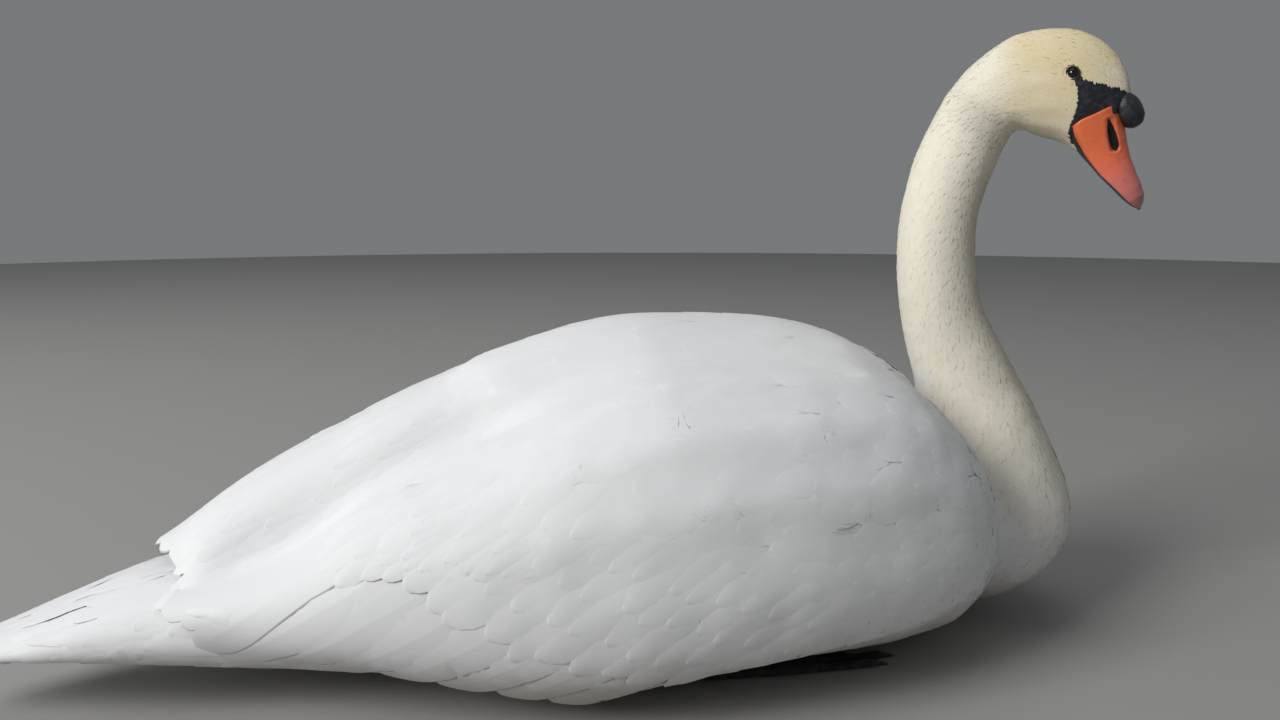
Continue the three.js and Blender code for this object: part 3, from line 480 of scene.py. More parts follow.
class Coat:
    """A piece of coat: many thin closed vanes or tufts in one mesh."""

    def __init__(self, name, material, slot):
        self.name, self.material, self.slot = name, material, slot
        self.points, self.loops, self.starts = [], [], []
        self.patches, self.places, self.vanes, self.tones, self.normals, self.rims = [], [], [], [], [], []
        self.corners = self.sides = 0

    def add(self, top, under, normal, patch, tone, u, t):
        """top and normal are (n, rows, across, 3); under is a few columns of top lowered, last first;
        patch is each vane's place on the unwrap."""
        n, rows, across = top.shape[:3]
        lower = UNDER[across]
        ring = across + len(lower)
        thin = top[:, :, lower] - normal[:, :, lower] * (under * (1 - u[lower] ** 2))[:, None]
        points = np.concatenate([top, thin], 2)
        i, j = crossed(np.arange(rows - 1), np.arange(ring))
        k = (j + 1) % ring
        a, b, c, d = i * ring + j, (i + 1) * ring + j, (i + 1) * ring + k, i * ring + k
        # The upper and lower skins are cut along the same diagonals, so they never cross.
        above = (j < across - 1)[..., None]
        halves = np.where(above, np.stack([a, b, c, a, c, d], -1), np.stack([a, b, d, b, c, d], -1))
        loops = np.r_[halves.ravel(), np.arange(ring), (rows - 1) * ring + np.arange(ring)[::-1]]
        starts = np.r_[np.arange(halves.size // 3) * 3, halves.size, halves.size + ring]
        first = self.corners + np.arange(n)[:, None] * rows * ring
        self.loops.append((loops[None] + first).ravel())
        self.starts.append((starts[None] + self.sides + np.arange(n)[:, None] * len(loops)).ravel())
        self.points.append(points.reshape(-1, 3))
        shown = np.concatenate([normal, normal[:, :, lower]], 2).reshape(n, -1, 3)[:, loops]
        up = np.where(above, 1.0, -1.0) * np.ones(6)
        shown *= np.r_[up.ravel(), np.ones(2 * ring)][None, :, None]
        self.normals.append(shown.reshape(-1, 3))
        rim = np.zeros((rows, ring), bool)
        rim[:, [0, across - 1]] = rim[[0, -1], across:] = True
        self.rims.append(np.tile(rim.ravel(), n))
        across_at = np.r_[u, u[lower]]
        spot = np.stack(np.broadcast_arrays(across_at[None, :], t[:, None]), -1)
        self.vanes.append(np.tile((spot * (0.5, 1) + (0.5, 0)).reshape(-1, 2), (n, 1)))
        small = (spot - (0, 0.5)) * (0.0015, 0.0030)
        self.patches.append(np.tile(small.reshape(-1, 2), (n, 1)))
        self.places.append(np.repeat(patch, rows * ring, 0))
        self.tones.append(np.repeat(tone, rows * ring))
        self.corners += n * rows * ring
        self.sides += n * len(loops)

    def finish(self):
        """Makes the piece."""
        mesh = bpy.data.meshes.new(self.name)
        points, loops = np.concatenate(self.points), np.concatenate(self.loops)
        starts = np.concatenate(self.starts)
        mesh.vertices.add(len(points))
        mesh.vertices.foreach_set("co", points.astype(np.float32).ravel())
        mesh.loops.add(len(loops))
        mesh.loops.foreach_set("vertex_index", loops.astype(np.int32))
        mesh.polygons.add(len(starts))
        mesh.polygons.foreach_set("loop_start", starts.astype(np.int32))
        mesh.update(calc_edges=True)
        # The part of the skin that the piece grows on fills the unwrap.
        place = np.concatenate(self.places)
        low, high = place.min(0), place.max(0)
        patches = np.concatenate(self.patches) + 0.02 + 0.96 * (place - low) / np.maximum(high - low, 0.0001)
        for name, spots in (("OFBake", patches), ("vane", np.concatenate(self.vanes))):
            layer = mesh.uv_layers.new(name=name)
            layer.uv.foreach_set("vector", spots[loops].astype(np.float32).ravel())
        tone = mesh.attributes.new("tone", "FLOAT", "POINT")
        tone.data.foreach_set("value", np.concatenate(self.tones).astype(np.float32))
        crease = mesh.attributes.new("sharp_edge", "BOOLEAN", "EDGE")
        ends = read(mesh.edges, "vertices", 2, np.int32)
        crease.data.foreach_set("value", np.concatenate(self.rims)[ends].all(1))
        shown = mesh.attributes.new("custom_normal", "FLOAT_VECTOR", "CORNER")
        shown.data.foreach_set("vector", np.concatenate(self.normals).astype(np.float32).ravel())
        ridden(self.name, mesh, self.material)


def facing(top, out):
    """The outward direction at each corner of a grid of corners."""
    normal = unit(np.cross(np.gradient(top, axis=1), np.gradient(top, axis=2)))
    return normal * np.sign((normal * out).sum(-1, keepdims=True) + 1e-9)


def body_unwrap(points):
    """The body's skin unrolled from its long axis, tail to breast across and belly seam to belly
    seam up."""
    turn = np.arctan2(points[..., 2] - 0.09, points[..., 1])
    return np.stack([points[..., 0], (turn / (2 * np.pi) + 0.25) % 1], -1)


# Half widths of a vane from root to tip, as [share of the length, share of the half width].
SOFT_VANE = ((0, 0.42), (0.28, 0.78), (0.58, 1.0), (0.82, 0.9), (0.95, 0.6), (1.0, 0.3))
SWEPT = 0.25


def laid(coat, form, at, way, length, width, rise, profile=SOFT_VANE, across=5, thick=0.0006,
         crown=0.0002, relief=0.5, unwrap=body_unwrap, sink=0.0008, pressed=0.0003):
    """Adds one vane to the coat at each place, that follows the form and lies the given way. rise is
    how far its tip stands off the form and sink how deep its root lies; crown is how much its
    middle bulges, pressed how much its edges are bent down, and relief how much of its own shape
    its shading shows, the rest being the form's."""
    t, share = np.array(profile).T
    spine, normal = form.nearest(at)
    way = unit(way - (way * normal).sum(-1, keepdims=True) * normal)
    run = [(spine, normal, way)]
    for step in np.diff(t):
        spine, normal = form.nearest(spine + way * (step * length)[:, None])
        way = unit(way - (way * normal).sum(-1, keepdims=True) * normal)
        run.append((spine, normal, way))
    spine, normal, way = (np.stack(v, 1) for v in zip(*run))
    side = np.cross(normal, way)
    u = np.linspace(-1, 1, across)
    half = (width[:, None] * share)[..., None, None]
    point = (spine[:, :, None] + side[:, :, None] * u[:, None] * half
             - way[:, :, None] * (SWEPT * half * u[:, None] ** 2 * (t ** 3)[:, None, None]))
    out = np.repeat(normal[:, :, None], across, 2)
    if across > 3:
        point, out = form.nearest(point)
    lift = (rise[:, None] * t ** 1.3 - sink * (1 - ramp(t, 0.0, 0.35)))[..., None]
    bend = crown * (1 - u ** 2) - pressed * (0.3 + 0.7 * t[:, None]) * u ** 2
    top = point + out * (lift + bend)[..., None]
    tone = np.random.default_rng(len(at)).random(len(at))
    shown = unit(relief * facing(top, out) + (1 - relief) * out)
    coat.add(top, thick, shown, unwrap(at), tone, u, t)


body_form = Form(FLESH, 0.007, 40, COAT_DEPTH, True, LUMPS)
# The soft vanes carry a little painted shade along their edges.
plumage = plumage_material("soft_plumage", 80.0, 0.00003, 0.10)


def body_spacing(p):
    """How far apart the feathers stand: closer at the breast and over the tail's root."""
    return (0.0095 + 0.008 * ramp(-p[:, 0], -0.12, 0.15) - 0.004 * ramp(p[:, 0], 0.1, 0.2)
            - 0.0055 * ramp(-p[:, 0], 0.36, 0.42))


# Places on a wing's side are [off, run]: off is the distance up from a line that falls 31 degrees
# to the rear, run the distance back along it. The greater coverts end where COVERT_TIP says.
FEATHER_FALL = math.radians(31)
COVERT_OFF = (0.060, 0.104, 0.150, 0.198, 0.250, 0.300, 0.330)
COVERT_TIP = (0.070, 0.098, 0.135, 0.168, 0.182, 0.190, 0.190)


def wing_xz(off, run):
    c, s = math.cos(FEATHER_FALL), math.sin(FEATHER_FALL)
    return -c * run - s * off, -s * run + c * off


def past_coverts(p):
    """How far behind the tips of the greater coverts each place is."""
    c, s = math.cos(FEATHER_FALL), math.sin(FEATHER_FALL)
    run, off = -c * p[:, 0] - s * p[:, 2], -s * p[:, 0] + c * p[:, 2]
    return run - np.interp(off, COVERT_OFF, COVERT_TIP)


def on_flight(p):
    """True where the long feathers of a folded wing and the rows over their roots lie."""
    return (past_coverts(p) > -0.100) & (p[:, 2] > np.interp(p[:, 0], WING_EDGE_X, WING_EDGE_Z))


def on_body(p):
    which, far = on_neck(p)
    return (((neck_run[which] < 0.10) | (far > 0.06)) & ~on_flight(p) & (p[:, 0] > -0.345)
            & ((p[:, 0] < 0.150) | (p[:, 2] < 0.045)))


def over_rump(p):
    return (p[:, 0] < -0.335) & (p[:, 0] > -0.545)


coat = Coat("contour_feathers", plumage, "plumage_white")
random = np.random.default_rng(4)
roots = scattered(body_form, lambda p: 0.93 * body_spacing(p), on_body, 3)
count = len(roots)
size = body_spacing(roots)
way = unit(lie(roots) + 0.07 * random.normal(size=(count, 3)))
laid(coat, body_form, roots, way, size * random.uniform(2.9, 3.5, count),
     size * random.uniform(0.86, 1.0, count), random.uniform(0.0002, 0.0004, count),
     thick=0.0005, relief=0.35, pressed=0.00035)
# Over the root of the tail and under the wings' ends they are long and narrow, and lie loosely.
roots = scattered(rump_form, body_spacing, over_rump, 5)
count = len(roots)
size = body_spacing(roots)
way = unit(lie(roots) + 0.10 * random.normal(size=(count, 3)))
laid(coat, rump_form, roots, way, size * random.uniform(4.6, 6.2, count),
     size * random.uniform(0.48, 0.60, count), random.uniform(0.0003, 0.0010, count),
     thick=0.0005, relief=0.75)
coat.finish()

# ---------------------------------------------------------------- neck
# The neck is clothed in thousands of short soft feathers that point down it, a little ruffled,
# ivory behind and, in front, stained and darkened with painted shade. Each is rooted on the skin.
TUFT = ((0, 0.5), (0.35, 1.0), (0.72, 0.85), (1.0, 0.2))
HEAD_PARTS = ["neck_middle", "neck_upper", "head"]


def neck_unwrap(points):
    """The neck's skin unrolled from its centre line, breast to bill up and once round across."""
    which, _ = on_neck(points)
    out = points - neck_curve[which]
    way = neck_way[which]
    flank = unit(np.cross(way, np.array([0, 1.0, 0])))
    turn = np.arctan2((out * flank).sum(-1), (out * np.cross(way, flank)).sum(-1))
    return np.stack([turn, neck_run[which]], -1)


def on_head(p):
    return (p[:, 2] > 0.372) & (p[:, 0] > 0.125)


def on_neck_coat(p):
    which, far = on_neck(p)
    high = (neck_run[which] > 0.075) & (far < 0.075) & (p[:, 2] < 0.40) & ~on_head(p)
    return high | ((p[:, 0] > 0.142) & (p[:, 2] > 0.035) & (p[:, 2] < 0.24))


def ruffled(points, seed, size, amount):
    """A slow random sway of the coat, the same for neighbours and in every run."""
    noise.seed_set(seed)
    shift = np.array([seed * 7.1, seed * 3.3, seed * 5.7])
    return amount * np.array([list(noise.noise_vector(Vector(p * size + shift))) for p in points])


class Joined:
    """Two forms made one: the lower gives way to the upper between two heights."""

    def __init__(self, lower, upper, low, high):
        self.lower, self.upper, self.low, self.high = lower, upper, low, high

    def nearest(self, points):
        place, normal = self.lower.nearest(points)
        above = points[..., 2] > self.low
        if above.any():
            share = ramp(points[above][:, 2], self.low, self.high)[:, None]
            other, outward = self.upper.nearest(points[above])
            place[above] += share * (other - place[above])
            normal[above] = unit(normal[above] + share * (outward - normal[above]))
        return place, normal


head_form = Form(HEAD_PARTS + ["eye_left", "eye_right"], 0.0025, 110, 0.0010)
whole_form = Joined(body_form, head_form, 0.335, 0.366)
neck_plumage = plumage_material("neck_plumage", 14.0, 0.00002)


def neck_spacing(p):
    return 0.0027 + 0.0026 * (1 - ramp(p[:, 2], 0.12, 0.26))


roots = scattered(body_form, neck_spacing, on_neck_coat, 7)
random = np.random.default_rng(8)
count = len(roots)
way = unit(lie(roots) + 0.07 * random.normal(size=(count, 3)) + ruffled(roots, 1, 60, 0.42))
small = 1 + 0.8 * (1 - ramp(roots[:, 2], 0.12, 0.26))
neck_coat = Coat("neck_feathers", neck_plumage, "plumage_neck")
laid(neck_coat, whole_form, roots, way, small * random.uniform(0.0110, 0.0150, count),
     small * random.uniform(0.0024, 0.0032, count), random.uniform(0.0003, 0.0007, count), TUFT, 3,
     thick=0.0004, crown=0.0002, relief=0.42, unwrap=neck_unwrap, sink=0.0004, pressed=0.0002)
neck_coat.finish()

# ---------------------------------------------------------------- head
# The head's feathers are the shortest, a dense plush that lies back from the bill and the bare
# black face, cream on the crown and cheek.
BILL_DROOP = math.radians(55)
HEAD_TURN = math.radians(-37.8)
BETWEEN_EYES = np.array((0.222, -0.030, 0.4285))
bill_x = np.array((math.cos(BILL_DROOP) * math.cos(HEAD_TURN), math.cos(BILL_DROOP) * math.sin(HEAD_TURN),
                   -math.sin(BILL_DROOP)))
bill_y = np.array((-math.sin(HEAD_TURN), math.cos(HEAD_TURN), 0))
bill_z = np.cross(bill_x, bill_y)
bill_axes = np.stack([bill_x, bill_y, bill_z])
FACE_AXIS = -0.006
# Where the bare face begins, as [turn from the top in degrees, distance ahead of the eyes].
FACE_EDGE = (
    (0, 0.0425), (8, 0.0400), (16, 0.0349), (30, 0.0275), (44, 0.0216), (55, 0.0168), (68, 0.0117),
    (73, 0.0078), (77, 0.0055), (81, 0.0040), (84, 0.0052), (86.3, 0.0093), (91, 0.0138),
    (98, 0.0184), (104, 0.0222), (110, 0.0254), (123, 0.0292), (134, 0.0328), (151, 0.0389),
    (163, 0.0440), (172, 0.0520), (180, 0.0570))
EYE_AT = np.array((0.0026, 0.0192, -0.0026))


def to_bill(points):
    """Places as [along the bill, to the bird's left, up from the bill], from between the eyes."""
    return (points - BETWEEN_EYES) @ bill_axes.T


def from_bill(points):
    return np.asarray(points) @ bill_axes + BETWEEN_EYES


def face_turn(at):
    return np.degrees(np.arctan2(np.abs(at[..., 1]), at[..., 2] - FACE_AXIS))


def past_face_edge(points):
    """How far each place lies inside the bare face."""
    at = to_bill(points)
    return at[..., 0] - np.interp(face_turn(at), *np.array(FACE_EDGE).T)


def from_eye(points):
    """How far each place is from the middle of the nearer eye, seen from the side."""
    at = to_bill(points)
    return np.hypot(at[:, 0] - EYE_AT[0], at[:, 2] - EYE_AT[2]) + 0.05 * (np.abs(at[:, 1]) < 0.010)


def plush_spacing(p):
    near_edge = np.minimum(from_eye(p) - 0.0058, -past_face_edge(p))
    return (0.00085 + 0.00085 * ramp(near_edge, 0.0005, 0.005)
            + 0.0007 * ramp(np.linalg.norm(p - BETWEEN_EYES, axis=1), 0.03, 0.08))


def on_plush(p):
    """The head but for its bare face, its eyes and the bare strip that joins them."""
    off, past = from_eye(p), past_face_edge(p)
    return on_head(p) & (past < 0.0016) & (off > 0.0062) & ~((off < 0.0095) & (past > -0.0022))


def round_the_eye(points, way):
    """The way the coat lies, turned aside where it would run into an eye."""
    at = to_bill(points)
    middle = np.where((at[:, 1] < 0)[:, None], from_bill(EYE_AT * (1, -1, 1)), from_bill(EYE_AT))
    out = points - middle
    far = np.linalg.norm(out, axis=1, keepdims=True)
    out = out / far
    into = np.minimum((way * out).sum(1, keepdims=True), 0)
    return way - out * into * (1 - ramp(far, 0.008, 0.014))


def head_unwrap(points):
    """The head's skin unrolled from the bill's axis, chin to chin across and nape to bill up."""
    at = to_bill(points)
    turn = np.arctan2(at[..., 1], at[..., 2] - FACE_AXIS)
    return np.stack([turn, at[..., 0]], -1)


plush = plumage_material("head_plumage", 6.0)
roots = scattered(head_form, plush_spacing, on_plush, 9)
random = np.random.default_rng(10)
count = len(roots)
size = ((1 + 0.7 * ramp(np.linalg.norm(roots - BETWEEN_EYES, axis=1), 0.02, 0.08))
        * (0.62 + 0.38 * ramp(from_eye(roots), 0.006, 0.013))
        * (0.6 + 0.4 * ramp(-past_face_edge(roots), 0, 0.006)))
way = unit(round_the_eye(roots, lie(roots)) + 0.05 * random.normal(size=(count, 3))
           + ruffled(roots, 2, 90, 0.22))
head_coat = Coat("head_plush", plush, "plumage_head")
laid(head_coat, head_form, roots, way, size * random.uniform(0.0048, 0.0066, count),
     size * random.uniform(0.0011, 0.0015, count), size * random.uniform(0.00016, 0.00036, count), TUFT, 3,
     thick=0.0003, crown=0.0001, relief=0.5, unwrap=head_unwrap, sink=0.0003, pressed=0.0001)
head_coat.finish()

# ---------------------------------------------------------------- bare face
# Black bare skin joins the bill to the eyes and runs round the gape to the chin. It is thin,
# finely wrinkled and a little shiny, and the plush starts at its edge.
FACE_TURNS = 240
FACE_ROWS = 22
FACE_SKIN = 0.0028
# The head's surface is nowhere further from the bill's axis than this.
HEAD_RADIUS = 0.045


def grid_piece(name, corners, material, uv=None, ends=True):
    """A piece from a grid of corners (rows, around, 3). Its ends are closed with a face each, or
    without ends the last row meets the first."""
    rows, around = corners.shape[:2]
    i, j = crossed(np.arange(rows - ends), np.arange(around))
    k, m = (j + 1) % around, (i + 1) % rows
    quads = np.stack([i * around + j, i * around + k, m * around + k, m * around + j], -1)
    faces = quads.reshape(-1, 4).tolist()
    if ends:
        faces += [list(range(around))[::-1], [(rows - 1) * around + n for n in range(around)]]
    mesh = bpy.data.meshes.new(name)
    mesh.from_pydata(corners.reshape(-1, 3).tolist(), [], faces)
    if uv is not None:
        corner = read(mesh.loops, "vertex_index", 1, np.int32)[:, 0]
        layer = mesh.uv_layers.new(name="place")
        layer.uv.foreach_set("vector", uv.reshape(-1, 2)[corner].astype(np.float32).ravel())
    return ridden(name, mesh, material)


def head_reach(along, turn):
    """How far the head's surface is from the bill's axis at each place along it and turn round it."""
    reach = np.zeros(along.shape)
    for i in np.ndindex(along.shape):
        out = bill_y * math.sin(turn[i]) + bill_z * math.cos(turn[i])
        start = from_bill((along[i], 0, FACE_AXIS)) + out * HEAD_RADIUS
        hit = head_form.tree.ray_cast(Vector(start), Vector(-out), HEAD_RADIUS)[3]
        reach[i] = HEAD_RADIUS - hit if hit is not None else np.nan
    return reach


def face_place(reach, along, turn):
    return from_bill(np.stack([along, reach * np.sin(turn), FACE_AXIS + reach * np.cos(turn)], -1))


turns = np.linspace(-np.pi, np.pi, FACE_TURNS, endpoint=False)
rear = np.interp(np.degrees(np.abs(turns)), *np.array(FACE_EDGE).T)
# It ends in front under the horn of the bill.
front = np.interp(np.degrees(np.abs(turns)), (0, 60, 120, 140, 150, 180),
                  (0.047, 0.043, 0.043, 0.050, 0.059, 0.063))
front = np.maximum(front, rear + 0.002)
share = np.linspace(0, 1, FACE_ROWS)[:, None]
along = rear - 0.0010 + (front - rear + 0.0010) * share ** 1.3
turn = np.broadcast_to(turns, along.shape)
reach = head_reach(np.minimum(along, 0.0505), turn)
for row in reach:
    row[np.isnan(row)] = np.interp(turns[np.isnan(row)], turns[~np.isnan(row)], row[~np.isnan(row)])
reach = reach * (1 - 0.10 * ramp(along, 0.050, 0.062))
wrinkle = 0.00010 * np.sin(along * 5200 + 3 * np.sin(turn * 5)) * ramp(share, 0.02, 0.2)
outer = reach - 0.0001 + wrinkle - 0.0006 * (1 - np.clip((along - along[:1]) / 0.0016, 0, 1))
inner = reach - FACE_SKIN

# Bare leathery skin: mottled, with fine wrinkles and an uneven shine.
leather, leather_in, leather_out = effect(
    "leather", (("Color", "Color", (0.02, 0.02, 0.02, 1)), ("Paler", "Color", (0.05, 0.05, 0.05, 1)),
                ("Size", "Float", 600.0), ("Roughness", "Float", 0.4)),
    (("Color", "Color"), ("Roughness", "Float"), ("Height", "Float")))
mottle = speckle(leather, sums(leather, "MULTIPLY", leather_in.outputs["Size"], 0.3), 4.0)
mixed = blend(leather, between(leather, mottle, 0.4, 0.7), leather_in.outputs["Color"],
              leather_in.outputs["Paler"])
leather.links.new(mixed, leather_out.inputs["Color"])
shine = sums(leather, "MULTIPLY_ADD", mottle, 0.25, leather_in.outputs["Roughness"])
leather.links.new(shine, leather_out.inputs["Roughness"])
wrinkles = node(leather, "TexVoronoi", (("Vector", node(leather, "TexCoord").outputs["Object"]),
                                        ("Scale", leather_in.outputs["Size"])), feature="DISTANCE_TO_EDGE")
leather.links.new(between(leather, wrinkles.outputs[0], 0.0, 0.3), leather_out.inputs["Height"])


def skin_material(name, colour, paler, roughness, wrinkle_size, wrinkle_depth):
    """Bare skin or dull horn. wrinkle_size is how many wrinkles there are in a metre."""
    made, tree, shader = plain_material(name, colour, roughness, (("Specular IOR Level", 0.45),))
    looks = node(tree, "Group", (("Color", (*colour, 1)), ("Paler", (*paler, 1)), ("Size", wrinkle_size),
                                 ("Roughness", roughness - 0.1)), node_tree=leather)
    tree.links.new(looks.outputs["Color"], shader.inputs["Base Color"])
    tree.links.new(looks.outputs["Roughness"], shader.inputs["Roughness"])
    roughened(tree, shader, looks.outputs["Height"], 0.6, wrinkle_depth)
    return made


black_skin = skin_material("face_skin", (0.012, 0.013, 0.017), (0.030, 0.032, 0.040), 0.42, 900.0, 0.00012)
shell = np.concatenate([face_place(outer, along, turn), face_place(inner, along, turn)[::-1]], 0)
grid_piece("bare_face", shell, black_skin, ends=False)

# ---------------------------------------------------------------- knob
# The black fleshy knob at the top of the bill, rounded in front and running up into the forehead.
# It is one with the bare skin of the face and covered with the same.
KNOB_AT = np.array((0.0455, 0, 0.0143))
KNOB_SIZE = np.array((0.0143, 0.0130, 0.0100))


def circle(count):
    return np.linspace(0, 2 * np.pi, count, endpoint=False)


polar, spin = crossed(np.linspace(0.02, np.pi - 0.02, 40), circle(64))
ball = np.stack([np.cos(polar), np.sin(polar) * np.sin(spin), np.sin(polar) * np.cos(spin)], -1)
lumpy = np.array([noise.noise(Vector(p * 2.2)) for p in ball.reshape(-1, 3)]).reshape(polar.shape)
knob_shape = np.sign(ball) * np.abs(ball) ** 0.88 * (1 + 0.035 * lumpy)[..., None] * KNOB_SIZE
knob = grid_piece("knob_flesh", from_bill(knob_shape + KNOB_AT), black_skin)
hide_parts("knob")

# ---------------------------------------------------------------- bill
# The horn sheath of the upper bill: orange over the sides and ridge, pinker to the tip, with a
# long black nostril groove on each side. It grows on the bone of the bill.

# Its sections are arches from ridge to cutting edge. All its numbers are millimetres.
BILL = np.array((  # along, half width, ridge, cutting edge, fullness
    (30.0, 22.5, 12.5, -20.5, 3.4), (35.0, 21.3, 12.0, -22.2, 3.3), (40.0, 20.0, 11.0, -24.3, 3.1),
    (46.0, 18.4, 9.4, -25.2, 2.8), (52.0, 17.0, 7.6, -25.7, 2.5), (58.0, 15.9, 5.8, -26.2, 2.25),
    (66.0, 15.0, 2.3, -25.9, 2.1), (76.0, 14.8, -1.3, -25.2, 2.0), (88.0, 15.2, -4.0, -22.8, 2.0),
    (97.0, 14.8, -5.5, -21.4, 2.1), (104.0, 13.0, -7.8, -20.2, 2.2), (109.0, 9.2, -11.2, -18.6, 2.1),
    (111.8, 3.0, -14.6, -17.0, 2.0)))
BILL_TIP = BILL[-1, 0]
BILL_ROWS = 110
# The ridge is so many columns from each cutting edge.
RIDGE = 25
# Where the horn begins, as [height, place along].
BILL_START = ((-25, 35.2), (-21.5, 34.5), (-17.5, 34.0), (-13.7, 34.4), (-7.4, 35.6), (-2, 36.7),
              (3.8, 37.0), (13, 37.0))


def bill_numbers(along):
    return [np.interp(along, BILL[:, 0], BILL[:, k]) for k in range(1, 5)]


def arch(along, turn):
    """The bill's section: turn 0 on the ridge, 90 degrees at the cutting edges."""
    wide, ridge, low, full = bill_numbers(along)
    turn = np.abs(np.broadcast_to(turn, along.shape))
    c, s = np.clip(np.cos(turn), 0, 1), np.clip(np.sin(turn), 0, 1)
    return wide * s ** (2 / full), low + (ridge - low) * c ** (2 / full)


half_turns = np.linspace(0, np.pi / 2, RIDGE + 1)
arc = np.r_[-half_turns[::-1], half_turns[1:]]
share = np.linspace(0, 1, BILL_ROWS)[:, None]
_, guess_z = arch(np.full(arc.shape, 35.0), arc)
begins = np.interp(guess_z, *np.array(BILL_START).T)
along = begins + (BILL_TIP - begins) * share
wide, up = arch(along, arc)
for _ in range(2):
    wide[1:-1] = (wide[:-2] + 2 * wide[1:-1] + wide[2:]) / 4
    up[1:-1] = (up[:-2] + 2 * up[1:-1] + up[2:]) / 4
NOSTRIL = ((46.6, 0.0), (55.2, -3.8), (64.6, -7.2))


def from_nostril(a, z):
    best = np.full(a.shape, 1e9)
    for (a0, z0), (a1, z1) in zip(NOSTRIL, NOSTRIL[1:]):
        t = np.clip(((a - a0) * (a1 - a0) + (z - z0) * (z1 - z0)) / ((a1 - a0) ** 2 + (z1 - z0) ** 2), 0, 1)
        best = np.minimum(best, np.hypot(a - a0 - t * (a1 - a0), z - z0 - t * (z1 - z0)))
    return best


off = from_nostril(along, up)
dent = (2.6 * (1 - ramp(off, 0.8, 3.6)) * (0.35 + 0.65 * ramp(along, 46, 56))
        - 0.35 * np.exp(-(off - 4.2) ** 2))
edge_in = 0.9 * (1 - ramp(share, 0, 0.012))
across_at = np.sign(arc) * (wide - (dent * (wide > 3) + edge_in))
up_at = up - 0.5 * dent * (wide > 3) - edge_in * (np.abs(arc) < 0.9)
ridge, edge = up_at[:, RIDGE], up_at[:, 0]


def closed_below(along, across, up, lip_up, lip_across, roof):
    """The arches closed with a lip inside each cutting edge, and the roof of the mouth."""
    points = np.stack([along, across, up], -1)
    lip = points[:, [-1, 0]] * (1, lip_across, 1)
    lip[..., 2] += lip_up[:, None]
    middle = np.stack([along[:, RIDGE], 0 * roof, roof], -1)[:, None]
    return np.concatenate([points, lip[:, :1], middle, lip[:, 1:]], 1)


ring = closed_below(along, across_at, up_at, np.minimum(1.6, 0.35 * (ridge - edge)), 0.86,
                    np.minimum(edge + 4.5, 0.6 * edge + 0.4 * ridge))

# The "place" map holds the place along the bill and the height, each over 100 mm.
bill_mat, tree, shader = plain_material("bill_horn", (0.60, 0.13, 0.05), 0.36, (("Coat Roughness", 0.25),))
place = mapped(tree, "place")
grain = speckle(tree, 160.0, 6.0)
run = sums(tree, "MULTIPLY_ADD", grain, 0.16, place.outputs[0])
colour = blend(tree, between(tree, run, 0.45, 0.98), (0.80, 0.165, 0.055, 1), (0.78, 0.150, 0.078, 1))
colour = blend(tree, between(tree, run, 0.74, 1.08), colour, (0.56, 0.165, 0.150, 1))
worn = sums(tree, "MULTIPLY", between(tree, grain, 0.56, 0.75), 0.35)
colour = blend(tree, worn, colour, (0.30, 0.06, 0.035, 1))
# The nostril is painted as a black oval, narrower above, that slopes with the side of the bill: painted shade
# for the depth of its opening, which here is only a shallow dent.
u = sums(tree, "SUBTRACT", place.outputs[0], 0.555)
v = sums(tree, "SUBTRACT", place.outputs[1], 0.4635)
c, s = math.cos(math.radians(18.2)), math.sin(math.radians(18.2))
lengthwise = sums(tree, "SUBTRACT", sums(tree, "MULTIPLY", u, c), sums(tree, "MULTIPLY", v, s))
crosswise = sums(tree, "ADD", sums(tree, "MULTIPLY", u, s), sums(tree, "MULTIPLY", v, c))
narrow = sums(tree, "MULTIPLY_ADD", lengthwise, 0.085, sums(tree, "MULTIPLY_ADD", grain, 0.012, 0.022))


def powered(value, over, power):
    return sums(tree, "POWER", sums(tree, "ABSOLUTE", sums(tree, "DIVIDE", value, over)), power)


oval = sums(tree, "ADD", powered(lengthwise, 0.122, 2.4), powered(crosswise, narrow, 2.0))
hole = between(tree, oval, 1.15, 0.85)
# Inside the nostril the painted shade is darkest toward its front end.
inside = blend(tree, between(tree, lengthwise, 0.03, 0.08), (0.005, 0.004, 0.004, 1),
               (0.002, 0.002, 0.002, 1))
colour = blend(tree, hole, colour, inside)
tree.links.new(colour, shader.inputs["Base Color"])
roughened(tree, shader, grain, 0.35, 0.0004)
dull = sums(tree, "MULTIPLY_ADD", grain, 0.3, sums(tree, "MULTIPLY_ADD", hole, 0.6, 0.22))
tree.links.new(dull, shader.inputs["Roughness"])
tree.links.new(sums(tree, "MULTIPLY_ADD", hole, -0.25, 0.25), shader.inputs["Coat Weight"])
places = np.stack([ring[..., 0] / 100, ring[..., 2] / 100 + 0.5], -1)
bill = grid_piece("bill_horn", from_bill(ring / 1000), bill_mat, places)
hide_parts("bill_upper")

# The nail: a harder shield of pale horn at the tip of the upper bill, a little proud of it.
share = np.linspace(0, 1, 26)[:, None]
begins = 101.0 + 3.0 * (np.abs(arc) / 1.57) ** 2
along = begins + (BILL_TIP + 0.8 - begins) * share
wide, up = arch(along, arc)
up = up + 0.35 * np.sin(np.clip(share * 6, 0, np.pi / 2)) - 0.6 * share ** 3
lip_up = np.minimum(0.8, 0.3 * (up[:, RIDGE] - up[:, 0]))
ring = closed_below(along, np.sign(arc) * wide * 0.97, up, lip_up, 0.8, up[:, 0] + 1.5 * lip_up)
